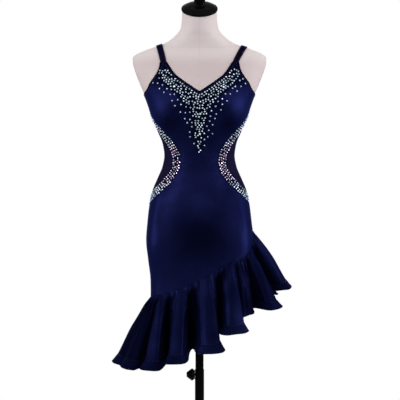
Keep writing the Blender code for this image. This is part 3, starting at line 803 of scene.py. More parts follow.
@dataclass(frozen=True)
class PowerNet(Cloth):
    """Fine stretch net: dark threads round small holes, with the pale form faintly through them."""

    thread: Colour = (0.0030, 0.0026, 0.014)
    through: Colour = (0.015, 0.011, 0.044)
    sheen: float = 0.05
    bloom: Colour = (0.10, 0.09, 0.45)
    gloss: float = 0.01
    holes: float = 820.0

    def fill(self, graph: Graph) -> Values:
        """The holes between the threads, a little wider here and there, and the threads' relief."""
        inputs = {"Vector": graph.place("UV"), "Scale": self.holes, "Randomness": 0.25}
        from_hole = graph.node("ShaderNodeTexVoronoi", inputs).outputs["Distance"]
        open_share = graph.span(from_hole, 0.30, 0.52, 1.0, 0.0)
        hole = graph.times(open_share, graph.span(graph.noise(graph.place(), 16.0), 0.3, 0.7, 0.55, 1.0))
        return {
            "Base Color": graph.mix(hole, self.thread, self.through),
            "Roughness": graph.span(hole, 0.0, 1.0, self.roughness, 0.8),
            "Normal": graph.bump(graph.math("SUBTRACT", 1.0, open_share), 0.5, 0.0003),
        }


@dataclass(frozen=True)
class FormJersey(Cloth):
    """The form's pale jersey cover, with its seams down the middle and round the neck."""

    cloth: Colour = (0.545, 0.455, 0.458)
    worn: Colour = (0.592, 0.506, 0.510)
    # neck: painted light, a lighter colour for the neck
    neck: Colour = (0.665, 0.583, 0.587)
    seam: Colour = (0.50, 0.42, 0.43)
    seam_width: Span = (0.00028, 0.00112)
    neck_seam_height: float = 1.413
    neck_slope: float = 0.30
    neck_from: Span = (1.345, 1.390)  # the heights over which the painted light on the neck begins
    loops: float = 4200.0

    def fill(self, graph: Graph) -> Values:
        """The knit, the faint tone of handling, the painted light that makes the neck lighter, and the seam
        lines.
        """
        place = graph.place()
        height = graph.axis(place, "Z")
        level = graph.math("SUBTRACT", height, graph.times(graph.axis(place, "Y"), self.neck_slope))
        from_seams = graph.away(graph.axis(place, "X")), graph.away(level, self.neck_seam_height)
        seam = graph.most(*[graph.span(away, *self.seam_width, 1.0, 0.0) for away in from_seams])
        handled = graph.mix(graph.span(graph.noise(place, 5.0), 0.3, 0.7), self.cloth, self.worn)
        # Painted light: the neck gets a lighter colour from neck_from upwards.
        cloth = graph.mix(graph.span(height, *self.neck_from), handled, self.neck)
        knit = graph.effect(KNIT, Vector=graph.place("UV"), Loops=self.loops)["Height"]
        return {
            "Base Color": graph.mix(graph.times(seam, 0.35), cloth, self.seam),
            "Normal": graph.bump(graph.math("SUBTRACT", graph.times(knit, 0.25), seam), 0.35, 0.0006),
        }


@dataclass(frozen=True)
class Black(Finish):
    """A black hard finish, from glossy moulded plastic to satin powder coat."""

    colour: Colour = (0.0016, 0.0016, 0.0018)
    dust: Colour = (0.05, 0.048, 0.048)
    roughness: float = 0.14
    shine: float = 0.03
    orange_peel: float = 0.10
    dusty: float = 0.12

    def constants(self) -> Values:
        """The strength of the gloss."""
        return {"Specular IOR Level": self.shine}

    def fill(self, graph: Graph) -> Values:
        """A trace of dust, an uneven gloss, and the finish's fine ripple."""
        place = graph.place()
        dust = graph.effect(DUST, Vector=place, Amount=self.dusty, Colour=self.colour, Dust=self.dust)
        uneven = graph.span(graph.noise(place, 30.0), 0.3, 0.7, self.roughness * 0.8, self.roughness * 1.35)
        return {
            "Base Color": dust["Colour"],
            "Roughness": graph.math("ADD", uneven, graph.times(dust["Mask"], 0.3), clamp=True),
            "Normal": graph.bump(graph.noise(place, 420.0, 2.0), self.orange_peel, 0.0004),
        }


@dataclass(frozen=True)
class CrystalGlass(Finish):
    """Cut crystal with a mirrored back, a painted glow and a painted sparkle. Each facet's own tint, with its
    painted glint, is in the piece's tint attribute.
    """

    roughness: float = 0.12
    mirror: float = 0.35
    polish: float = 0.03
    # Painted light: the stones glow, and a painted sparkle lightens them towards white in spots.
    glow: float = 0.42
    fire: Colour = (0.95, 0.97, 1.0)

    def constants(self) -> Values:
        """The mirror behind the glass, its polish, and the strength of its painted glow."""
        polish = {"Coat Weight": 1.0, "Coat Roughness": self.polish}
        return {**super().constants(), **polish, "Metallic": self.mirror, "Emission Strength": self.glow}

    def fill(self, graph: Graph) -> Values:
        """The facets' tints with their painted glints, a painted sparkle over them, and the tints again as a
        painted glow.
        """
        tint = graph.attribute("tint", "Color")
        fire = graph.span(graph.noise(graph.place(), 380.0, 1.0), 0.25, 0.75, 0.0, 0.5)
        return {"Base Color": graph.mix(fire, tint, self.fire), "Emission Color": tint}


@dataclass(frozen=True)
class Thread(Finish):
    """Twisted sewing thread."""

    colour: Colour = (0.010, 0.012, 0.050)
    # light: a painted highlight on the twist's raised strands
    light: Colour = (0.022, 0.026, 0.090)

    def fill(self, graph: Graph) -> Values:
        """The twist's dark strands, and a painted highlight on the raised ones."""
        inputs = {"Vector": graph.place(), "Scale": 900.0, "Distortion": 2.0}
        twist = graph.node("ShaderNodeTexWave", inputs, bands_direction="DIAGONAL").outputs["Fac"]
        colour = graph.mix(twist, self.colour, self.light)
        return {"Base Color": colour, "Normal": graph.bump(twist, 0.3, 0.0002)}


@dataclass(frozen=True)
class StudioPaper(Finish):
    """Pale matt backdrop paper."""

    colour: Colour = (0.80, 0.80, 0.80)
    roughness: float = 0.9

    def fill(self, graph: Graph) -> Values:
        """The paper's faint unevenness."""
        return {"Base Color": graph.mix(graph.noise(graph.place(), 3.0), self.colour, lit(self.colour, 1.03))}


VELVET = Velvet("navy_velvet")
FLOUNCE_VELVET = Velvet(
    "flounce_velvet", deep=(0.0014, 0.0018, 0.0115), raised=(0.0050, 0.0066, 0.0360), roughness=0.44, sheen=0.15
)
TAPE = Velvet(
    "edge_tape", deep=(0.0004, 0.0004, 0.0020), raised=(0.0010, 0.0008, 0.0050), sheen=0.05, patch_scale=40.0
)
STRAP_VELVET = Velvet(
    "strap_velvet", deep=(0.0036, 0.0022, 0.0105), raised=(0.0072, 0.0042, 0.0195), sheen=0.10, brushed=0.0
)
NET = PowerNet("navy_net")
JERSEY = FormJersey("form_jersey")
GLOSS = Black("gloss_black")
KNOB_PLASTIC = Black("knob_plastic", roughness=0.30)
POWDER_COAT = Black("powder_coat", roughness=0.34, shine=0.02, orange_peel=0.25, dusty=0.06)
CRYSTAL = CrystalGlass("cut_crystal")
THREAD = Thread("navy_thread")
PAPER = StudioPaper("studio_paper")


def dress(piece: Piece, finish: Finish, body: Body, *nodes: str) -> Piece:
    """Gives a piece its finish and its body, and hides the CAD nodes it stands for.

    Args:
        piece: The piece.
        finish: Its finish.
        body: The body it rides on.
        nodes: The CAD nodes it replaces.

    Returns:
        The same piece.
    """
    piece.data.materials.clear()
    piece.data.materials.append(finish.material())
    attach(piece, body.value)
    if nodes:
        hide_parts(*nodes)
    log.info("%s: %d faces on %s", piece.name, len(piece.data.polygons), body.value)
    return piece


def mesh_piece(name: str, bm: Mesh, smooth_angle: Optional[float] = 50.0) -> Piece:
    """Makes a bmesh an object of the scene, with its faces pointing out.

    Args:
        name: The piece's name.
        bm: The mesh, which is used up.
        smooth_angle: The angle in degrees below which edges are shaded smooth, or None for flat faces.

    Returns:
        The new object.
    """
    bmesh.ops.recalc_face_normals(bm, faces=bm.faces)
    mesh = bpy.data.meshes.new(name)
    bm.to_mesh(mesh)
    bm.free()
    if smooth_angle is not None:
        mesh.shade_smooth()
        mesh.set_sharp_from_angle(angle=math.radians(smooth_angle))
    made = bpy.data.objects.new(name, mesh)
    bpy.context.scene.collection.objects.link(made)
    return made


def mark_valleys(piece: Piece, shade: Sequence[float]) -> None:
    """Stores a piece's painted shade, point by point, in its valley attribute."""
    piece.data.attributes.new("valley", "FLOAT", "POINT").data.foreach_set("value", shade)


def cloth_wall(name: str, flat: Mesh, sides: Callable[[Vector], Pair]) -> Piece:
    """A wall of cloth made from a flat pattern, which also gives the cloth's UV map.

    Args:
        name: The piece's name.
        flat: The pattern, laid flat, which is used up.
        sides: Gives the inner and the outer place of a point of the pattern.

    Returns:
        The new piece.
    """
    bm = bmesh.new()
    uv = bm.loops.layers.uv.new("cloth")
    inner, outer, flat_place = {}, {}, {}
    for vert in flat.verts:
        inner[vert], outer[vert] = [bm.verts.new(place) for place in sides(vert.co)]
        flat_place[inner[vert]] = flat_place[outer[vert]] = vert.co.xy
    for face in flat.faces:
        bm.faces.new([outer[v] for v in face.verts])
        bm.faces.new([inner[v] for v in reversed(face.verts)])
    for edge in flat.edges:
        if edge.is_boundary:
            a, b = edge.verts
            bm.faces.new((outer[a], outer[b], inner[b], inner[a]))
    for face in bm.faces:
        for loop in face.loops:
            loop[uv].uv = flat_place[loop.vert]
    flat.free()
    return mesh_piece(name, bm)


def lofted(
    name: str, rings: Sequence[Sequence[Vector]], pitch: float, runs: Sequence[float], smooth_angle: float = 50
) -> Piece:
    """A closed skin of cloth through rings of points.

    Args:
        name: The piece's name.
        rings: The rings' points.
        pitch: How far apart the UV map lays a ring's points.
        runs: Where along the UV map each ring lies.
        smooth_angle: The angle in degrees below which edges are shaded smooth.

    Returns:
        The new piece.
    """
    bm = bmesh.new()
    uv = bm.loops.layers.uv.new("cloth")
    loops = [[bm.verts.new(point) for point in ring] for ring in rings]
    for i, (low, high) in enumerate(zip(loops, loops[1:])):
        for k in range(len(low)):
            n = (k + 1) % len(low)
            face = bm.faces.new((low[k], low[n], high[n], high[k]))
            for loop, (column, row) in zip(face.loops, ((k, i), (k + 1, i), (k + 1, i + 1), (k, i + 1))):
                loop[uv].uv = (column * pitch, runs[row])
    bm.faces.new(reversed(loops[0]))
    bm.faces.new(loops[-1])
    return mesh_piece(name, bm, smooth_angle)


def tape_along(name: str, path: Sequence[Place], half_width: float, half_height: float) -> Piece:
    """A round tape squashed flat along a path, closed at its ends.

    Args:
        name: The piece's name.
        path: The path's places.
        half_width: Half of the tape's width.
        half_height: Half of its thickness.

    Returns:
        The new piece.
    """
    turns = [math.tau * k / 10 for k in range(10)]
    rings, runs = [], [0.0]
    for i, (point, normal) in enumerate(path):
        before, after = path[max(i - 1, 0)][0], path[min(i + 1, len(path) - 1)][0]
        runs.append(runs[-1] + (after - point).length)
        across = (after - before).normalized().cross(normal).normalized()
        wide, thick = across * half_width, normal * half_height
        rings.append([point + wide * math.cos(turn) + thick * math.sin(turn) for turn in turns])
    return lofted(name, rings, half_width * 0.5, runs)


@dataclass
class Bodice:
    """The dress's two velvet panels, cut in one from the neckline down to the slanting flounce seam."""

    ease: float = 0.0010
    wall: float = 0.0015
    net_wall: float = 0.0010
    column_angle: float = 3.0
    row_height: float = 0.0085
    flat_per_degree: float = 0.0025
    smallest_cell: float = 0.0012
    edge_steps: int = 60
    hem_steps: int = 180
    pucker: float = 0.0007
    pucker_fade: float = 0.016

    def lies_on(self, edge: bmesh.types.BMEdge, axis: int, places: Sequence[float]) -> bool:
        """Whether an edge of a flat mesh runs along one of the grid's lines across an axis."""
        a, b = (v.co[axis] for v in edge.verts)
        i = bisect_right(places, a)
        return abs(a - b) <= FINEST and any(abs(a - place) < FINEST for place in places[max(i - 1, 0) : i + 1])

    @staticmethod
    def lines(values: Iterable[float], step: float, scale: float) -> list[float]:
        """The places of a grid's lines within the range of some values."""
        inside = [value / step for value in values]
        first, last = math.floor(min(inside)) + 1, math.ceil(max(inside)) - 1
        return [i * step * scale for i in range(first, last + 1)]

    def cut_flat(self, outline: Sequence[Spot]) -> Mesh:
        """A flat mesh of an outline, cut along a fine grid of columns and rows.

        Args:
            outline: Points of (degrees round, height).

        Returns:
            The mesh, with X in degrees times flat_per_degree and Y as the height.
        """
        bm = bmesh.new()
        bm.faces.new([bm.verts.new((degrees * self.flat_per_degree, height, 0)) for degrees, height in outline])
        bm.normal_update()
        bmesh.ops.triangulate(bm, faces=bm.faces)
        rounds, heights = zip(*outline)
        spans = (rounds, self.column_angle, self.flat_per_degree), (heights, self.row_height, 1.0)
        grid = [self.lines(*span) for span in spans]
        for axis, places in enumerate(grid):
            across = Vector((axis == 0, axis == 1, 0))
            for place in places:
                everything, spot = bm.verts[:] + bm.edges[:] + bm.faces[:], across * place
                bmesh.ops.bisect_plane(bm, geom=everything, plane_co=spot, plane_no=across, dist=FINEST)
        wanted = [e.is_boundary or any(self.lies_on(e, axis, grid[axis]) for axis in (0, 1)) for e in bm.edges]
        spare = [e for e, keep in zip(bm.edges, wanted) if not keep]
        bmesh.ops.dissolve_edges(bm, edges=spare, use_verts=False)
        between = [v for v in bm.verts if not v.is_boundary and len(v.link_edges) == 2]
        bmesh.ops.dissolve_verts(bm, verts=between)
        rim = [v for v in bm.verts if v.is_boundary]
        close = bmesh.ops.find_doubles(bm, verts=bm.verts, keep_verts=rim, dist=self.smallest_cell)
        bmesh.ops.weld_verts(bm, targetmap=close["targetmap"])
        return bm

    def lift(self, angle: float, z: float, creases: Iterable[Crease]) -> float:
        """How far the creases and the puckers over the flounce raise the cloth at a place.

        Args:
            angle: The place's angle.
            z: The place's height.
            creases: The panel's creases.

        Returns:
            The lift, in metres.
        """
        total = 0.0
        for crease in creases:
            u, v = math.radians(angle - crease.angle) * METRES_ROUND, z - crease.height
            slant = math.radians(crease.slant)
            across = u * math.cos(slant) - v * math.sin(slant)
            share = 1 - ((u * math.sin(slant) + v * math.cos(slant)) / crease.half_length) ** 2
            if share > 0 and abs(across) < 3 * crease.half_width:
                total += crease.lift * share**2 * bell(across, crease.half_width)
        above = z - SHAPE.skirt_row(angle).seam
        waves = 2 + math.sin(0.93 * angle) + math.sin(1.71 * angle + 1.3)
        return total + self.pucker * waves / 2 * math.exp(-max(above, 0.0) / self.pucker_fade)

    def on_body(self, first_angle: float, wall: float, creases: Sequence[Crease]) -> Callable[[Vector], Pair]:
        """Gives the inner and outer place of a point of a flat pattern that starts at an angle.

        Args:
            first_angle: The angle.
            wall: The cloth's thickness.
            creases: The pattern's creases.

        Returns:
            The function that gives the two places.
        """

        def sides(flat: Vector) -> Pair:
            """The two places of one point."""
            angle = first_angle + flat.x / self.flat_per_degree
            lift = self.ease + (self.lift(angle, flat.y, creases) if creases else 0.0)
            inner, normal = SHAPE.place(angle, flat.y, lift)
            return inner, inner + normal * wall

        return sides

    def panel(self, half: Half) -> Piece:
        """A velvet panel from one side seam round to the other.

        Args:
            half: The front or the back.

        Returns:
            The panel.
        """
        rows = Curve(INSET_EDGE).samples(self.edge_steps)
        up = [(max(row.degrees, 0.0), row.height) for row in rows]
        cuts = [SHAPE.reaches(edges[half]) for edges in (ARMHOLES, NECKLINES)]
        arm, neck = [cut.samples(self.edge_steps // 2) for cut in cuts]
        up += [(row.degrees, row.height) for row in [*arm, *reversed(neck)]]
        start, turns = half.start.angle, even_steps(0, 180, self.hem_steps)
        hem = [(turn, SHAPE.skirt_row(start + turn).seam) for turn in turns]
        outline = hem + [(180 - degrees, height) for degrees, height in up] + up[-2::-1]
        trim = math.degrees(GAP / 2 / SHAPE.section(1.2).half_width)
        squeezed = [(min(max(degrees, trim), 180 - trim), height) for degrees, height in outline]
        sides = self.on_body(start, self.wall, CREASES[half])
        made = cloth_wall(f"velvet_{half.word}", self.cut_flat(squeezed), sides)
        return dress(made, VELVET, Body.FORM, f"{half.word}_panel")

    def inset(self, side: Side) -> Piece:
        """The lens of net that fills the cut-out at a side.

        Args:
            side: The side of the dress.

        Returns:
            The lens.
        """
        lowest, highest = INSET_ENDS
        centre, share = (lowest + highest) / 2, 1 - 4 * GAP / (highest - lowest)
        trim = math.degrees(GAP / SHAPE.section(centre).half_width)
        rows = Curve(INSET_EDGE).samples(self.edge_steps)
        edge = [(max(row.degrees - trim, 0.0), centre + (row.height - centre) * share) for row in rows]
        front = [(90 - degrees, z) for degrees, z in edge]
        outline = front + [(90 + degrees, z) for degrees, z in edge[-2:0:-1]]
        sides = self.on_body(side.angle - 90, self.net_wall, ())
        made = cloth_wall(f"side_net_{side.word}", self.cut_flat(outline), sides)
        return dress(made, NET, Body.FORM, f"net_inset_{side.word}")

    def build(self) -> list[Piece]:
        """Builds the two panels and the two insets."""
        return [self.panel(half) for half in Half] + [self.inset(side) for side in Side]


@dataclass
class Straps:
    """The two shoulder straps, from the front panel's corner over the shoulder to the back panel's."""

    ease: float = 0.0016
    wall: float = 0.0020
    top_out: tuple[float, float] = (0.122, 0.1355)  # the right strap's and the left one's
    steps: int = 56
    across: int = 12
    edge_share: float = 0.09
    edge_height: float = 0.35
    stitch_in: float = 0.15
    groove: float = 0.00035
    groove_width: float = 0.03
    ridge_drop: float = 1e-5
    uv_pitch: float = 0.0015
    uv_run: float = 0.004

    def line(self, side: Side, share: float) -> Path:
        """A line along a strap's underside at a share of its width.

        Args:
            side: The side of the dress.
            share: The share, from the inner edge out.

        Returns:
            The line's places, from front to back.
        """
        half_width = (ARMHOLES[Half.FRONT][-1].out - NECKLINES[Half.FRONT][-1].out) / 2
        top_x = self.top_out[side is Side.LEFT] - half_width + 2 * half_width * share
        line = []
        for i in range(self.steps + 1):
            over, half = math.sin(math.pi * i / self.steps), Half.FRONT if i <= self.steps / 2 else Half.BACK
            seam, low_in = STRAP_SEAMS[half] + GAP, NECKLINES[half][-1].out
            low_x = low_in + (ARMHOLES[half][-1].out - low_in) * share
            x = low_x + (top_x - low_x) * over
            z = seam + (SHAPE.ridge_height(x) - self.ridge_drop - seam) * over
            point = SHAPE.across(side.value * x, z, half)
            line.append((point, SHAPE.normal(point)))
        return moved(line, self.ease)

    def height(self, share: float) -> float:
        """The strap's thickness at a share of its width: rounded at its edges, pulled in at its stitches."""
        from_edge = min(share, 1 - share)
        edge = min(from_edge / self.edge_share, 1.0)
        rounded = self.wall * (self.edge_height + (1 - self.edge_height) * math.sqrt(1 - (1 - edge) ** 2))
        return rounded - self.groove * bell(from_edge - self.stitch_in, self.groove_width)

    def strap(self, side: Side) -> Piece:
        """One strap.

        Args:
            side: The side of the dress.

        Returns:
            The strap.
        """
        shares = [0.5 - 0.5 * math.cos(math.pi * k / self.across) for k in range(self.across + 1)]
        under = [self.line(side, share) for share in shares]
        over = [moved(line, self.height(share)) for line, share in zip(under, shares)]
        rings = [[line[i][0] for line in [*under, *reversed(over)]] for i in range(self.steps + 1)]
        runs = [i * self.uv_run for i in range(self.steps + 1)]
        made = lofted(f"velvet_strap_{side.word}", rings, self.uv_pitch, runs)
        return dress(made, STRAP_VELVET, Body.FORM, f"strap_{side.word}")

    def stitch_rows(self) -> list[Path]:
        """The two rows of stitches along each strap."""
        rows = [(side, share) for side in Side for share in (self.stitch_in, 1 - self.stitch_in)]
        return [moved(self.line(side, share), self.height(share)) for side, share in rows]

    def build(self) -> list[Piece]:
        """Builds both straps."""
        return [self.strap(side) for side in Side]


class Gathers(NamedTuple):
    """Fine waves round the flounce: their height, how many there are to a fold, where the first one
    starts, the share of the depth by which they are highest, and how uneven they are."""

    height: float
    pace: float
    start: float
    fade: float
    uneven: float


FINE_GATHERS = table(Gathers, (0.0010, 5.37, 0.3, 0.09, 0.4), (0.0007, 8.83, 0.0, 0.05, 0.0))


class Streak(NamedTuple):
    """A long soft crease down the flounce: its place in folds, the share of the depth where it starts
    and ends, its half width in folds, and how far it stands out."""

    number: float
    start: float
    end: float
    half_width: float
    lift: float


@dataclass
class Flounce:
    """The gathered flounce in two halves, with deep folds, fine gathers and a stiffened hem."""

    ease: float = 0.0010
    wall: float = 0.0015
    seam_drop: float = 0.0005
    columns_per_fold: int = 28
    gathers_per_fold: int = 3
    gather_depth: float = 0.0030
    gather_fade: float = 0.14
    fold_overhang: float = 1.12
    crest_breadth: float = 1.5
    lean: float = 0.12
    hem_band: float = 0.12
    hem_kick: float = 0.010
    deep_fold: float = 0.050
    hem_step: float = 0.55
    hem_rise: float = 0.17
    hem_roll: float = 0.0007
    band_ridge: float = 0.0005
    band_groove: float = 0.0007
    groove_width: float = 0.006
    band_edge: float = 0.012
    roll_from: Span = (0.985, 0.995)  # where down the depth the hem's roll begins
    hem_ripple: float = 0.0010
    # Painted shade that darkens the flounce's velvet: in its folds, fading in from the seam, over whole shallow
    # folds at the sides, and less on the hem band.
    fold_shade: Span = (0.20, 0.85)  # how far from a crest the shade begins, and where it is full
    side_valley: Span = (0.06, 0.10)  # how far out a valley is before its whole fold lies in shade
    side_shade: float = 0.90
    seam_shade: float = 0.12  # the depth at which the shade is full
    band_light: float = 0.3
    streaks_per_fold: int = 4
    flat_length: float = 0.21
    seed: int = 11

    def __post_init__(self) -> None:
        """Works out the curves, the rows and the long creases."""
        self.flare = Curve(FLARE)
        self.folds = Curve((*self.shifted(FOLDS[-2:], -1), *FOLDS, *self.shifted(FOLDS[:2], 1)))
        self.band_top = 1 - self.hem_band
        upper = [0.5 * (i / 14) ** 1.6 for i in range(14)]
        middle = even_steps(0.5, self.band_top - 0.018, 9)
        band = [self.band_top + step for step in (-0.008, 0.0, 0.008, 0.02)]
        self.rows = [*upper, *middle, *band, 0.93, 0.955, 0.975, 0.988, 0.996, 1.0]
        rng = random.Random(self.seed)
        numbers = range(-1, len(FOLDS) + 1)
        self.streaks = [self.streak(rng, number) for number in numbers for _ in range(self.streaks_per_fold)]

    @staticmethod
    def shifted(folds: Sequence[Fold], rounds: int) -> list[Fold]:
        """Folds moved on by whole rounds of the body."""
        steps = (len(FOLDS) * rounds, 360 * rounds, 360 * rounds)
        return [Fold(*[value + step for value, step in zip(fold, steps)], *fold[3:]) for fold in folds]

    @staticmethod
    def streak(rng: random.Random, number: int) -> Streak:
        """One long crease, somewhere over a fold's crest."""
        ranges = ((-0.36, 0.36), (0.0, 0.12), (0.42, 0.86), (0.022, 0.045), (0.0010, 0.0026))
        across, *rest = [rng.uniform(low, high) for low, high in ranges]
        return Streak(number + across, *rest)

    def hem_point(self, number: float) -> Pair:
        """The hem's point at a place counted in folds, and how far the hem's band kicks out there.

        Args:
            number: The place.

        Returns:
            The point, and the kick.
        """
        fold, turn = self.folds.at(number), math.tau * number
        wave, half_wave = math.cos(turn), math.sin(2 * turn)
        crest = 1 - ((1 - wave) / 2) ** self.crest_breadth
        out = fold.valley + (fold.crest - fold.valley) * crest
        base = SHAPE.point(fold.hem_angle, SHAPE.skirt_row(fold.hem_angle).seam)
        pitch = self.folds.at(number + 0.5).hem_angle - self.folds.at(number - 0.5).hem_angle
        level_angle = fold.hem_angle - self.hem_step * pitch * math.sin(turn) / math.tau
        deep = min((fold.crest - fold.valley) / self.deep_fold, 1)
        outwards = SHAPE.normal(base)
        outwards.z = 0
        outwards.normalize()
        along = Vector((-outwards.y, outwards.x, 0))
        width = math.radians(pitch) * (base.xy.length + out)
        overhang = deep * self.fold_overhang * half_wave / (2 * math.tau)
        slide = width * (overhang + fold.swell * math.sin(turn) + self.lean * fold.lean * wave)
        point = base + outwards * out + along * slide
        point.z = SHAPE.skirt_row(level_angle).hem + self.hem_rise * (fold.crest - out)
        return point, along * deep * self.hem_kick * math.sin(turn)

    def line(self, number: float) -> tuple[list[Vector], Vector]:
        """The flounce's points from its seam to its hem at a place counted in folds, and the way out there.

        Args:
            number: The place.

        Returns:
            The points, one for each row, and the way out.
        """
        angle = self.folds.at(number).seam_angle
        start = SHAPE.point(angle, SHAPE.skirt_row(angle).seam)
        outwards = SHAPE.normal(start)
        start += outwards * (self.ease + self.wall / 2)
        start.z -= self.seam_drop
        end, kick = self.hem_point(number)
        gather = self.gather_depth * math.cos(math.tau * self.gathers_per_fold * number)
        line = []
        for depth in self.rows:
            point = start.lerp(end, self.flare.at(depth).spread)
            point.z = start.z + (end.z - start.z) * depth
            band = max(depth - self.band_top, 0) / self.hem_band
            line.append(point + outwards * self.swelling(depth, self.gather_fade) * gather + kick * band)
        return line, outwards

    @staticmethod
    def swelling(depth: float, fade: float) -> float:
        """A wave's strength down the flounce: none at the seam, most at the fade depth, then dying away."""
        return (depth / fade) * math.exp(1 - depth / fade)

    def relief(self, number: float, depth: float) -> float:
        """The finer form that lies on the folds: uneven gathers, long creases and the hem's band.

        Args:
            number: The place, counted in folds.
            depth: The share of the depth.

        Returns:
            How far the cloth stands out, in metres.
        """
        total, drift = 0.0, math.sin(math.tau * (0.41 * number + 0.2))
        for row in FINE_GATHERS:
            height, turn = row.height * (1 - row.uneven + row.uneven * drift), row.pace * number + row.start
            total += height * math.cos(math.tau * turn) * self.swelling(depth, row.fade)
        for streak in self.streaks:
            beside = abs(number + 0.25 * streak.half_width * depth - streak.number) / streak.half_width
            if beside < 2.5 and streak.start < depth < streak.end:
                share = (depth - streak.start) / (streak.end - streak.start)
                total += streak.lift * bell(beside, 1.0) * math.sin(math.pi * share**0.6) ** 1.5
        total += self.band_ridge * smooth_step(depth, self.band_top, self.band_top + self.band_edge)
        total -= self.band_groove * bell(depth - self.band_top, self.groove_width)
        ripple = math.sin(math.tau * (3.3 * number + 0.6 * math.sin(5.0 * number)))
        return total + self.hem_ripple * ripple * smooth_step(depth, 0.9, 1.0)

    def valley(self, number: float, depth: float) -> float:
        """How much painted shade a place gets in the folds: 0 on a crest, 1 at the bottom of a deep fold.

        Args:
            number: The place, counted in folds.
            depth: The share of the depth.

        Returns:
            The painted shade.
        """
        fold = self.folds.at(number)
        away = (1 - math.cos(math.tau * number)) / 2
        folded = smooth_step(away, *self.fold_shade) * min((fold.crest - fold.valley) / self.deep_fold, 1)
        # Painted shade over the whole of the shallow folds at the sides.
        shallow_fold_shade = self.side_shade * smooth_step(fold.valley, *self.side_valley)
        on_band = 1 - self.band_light * smooth_step(depth, self.band_top, self.band_top + 0.02)
        return max(folded, shallow_fold_shade) * smooth_step(depth, 0, self.seam_shade) * on_band

    def number_at(self, angle: float) -> float:
        """The place, counted in folds, of an angle of the flounce's seam."""
        return last_where(lambda number: self.folds.at(number).seam_angle < angle, -1.0, float(len(FOLDS)))

    def grid(self, first: float, last: float) -> tuple[list[Path], list[float]]:
        """The places of a stretch of the flounce, column by column, and the painted shade at each.

        Args:
            first: The first place, counted in folds.
            last: The last place.

        Returns:
            The columns of places, and the painted shade at each.
        """
        count = round((last - first) * self.columns_per_fold)
        numbers = [first + (last - first) * i / count for i in range(-1, count + 2)]
        lines, directions = zip(*[self.line(number) for number in numbers])
        columns = []
        for i in range(1, count + 2):
            column = []
            for k, point in enumerate(lines[i]):
                down = lines[i][min(k + 1, len(self.rows) - 1)] - lines[i][max(k - 1, 0)]
                normal = down.cross(lines[i + 1][k] - lines[i - 1][k]).normalized() if k else directions[i]
                column.append((point + normal * self.relief(numbers[i], self.rows[k]), normal))
            columns.append(column)
        return columns, [self.valley(number, depth) for number in numbers[1:-1] for depth in self.rows]

    def part(self, half: Half) -> Path:
        """Builds a half of the flounce between two side seams, and gives the stitches' path on its hem band.

        Args:
            half: The front or the back.

        Returns:
            The path.
        """
        first = 180 if half is Half.FRONT else 360
        trim = math.degrees(GAP * 0.6 / SHAPE.section(SKIRT_END[0].seam).half_width)
        columns, shade = self.grid(self.number_at(first + trim), self.number_at(first + 180 - trim))
        flat = bmesh.new()
        known: dict[tuple[float, ...], Pair] = {}
        before, run = [], 0.0
        for i, column in enumerate(columns):
            run += (column[-1][0] - columns[i - 1][-1][0]).length if i else 0.0
            verts = [flat.verts.new((run, -depth * self.flat_length, 0)) for depth in self.rows]
            for vert, depth, (point, normal) in zip(verts, self.rows, column):
                half_wall = self.wall / 2 + self.hem_roll * smooth_step(depth, *self.roll_from)
                known[tuple(vert.co)] = (point - normal * half_wall, point + normal * half_wall)
            for left, low_left, right, low_right in zip(before, before[1:], verts, verts[1:]):
                flat.faces.new((left, low_left, low_right, right))
            before = verts
        made = cloth_wall(f"gathered_{half.word}", flat, lambda spot: known[tuple(spot)])
        mark_valleys(made, [value for value in shade for _ in range(2)])
        dress(made, FLOUNCE_VELVET, Body.FORM, f"flounce_{half.word}")
        row = self.rows.index(self.band_top)
        return moved([column[row] for column in columns], self.wall / 2)

    def build(self) -> list[Path]:
        """Builds both halves, and gives the paths of the hem's stitches."""
        return [self.part(half) for half in Half]


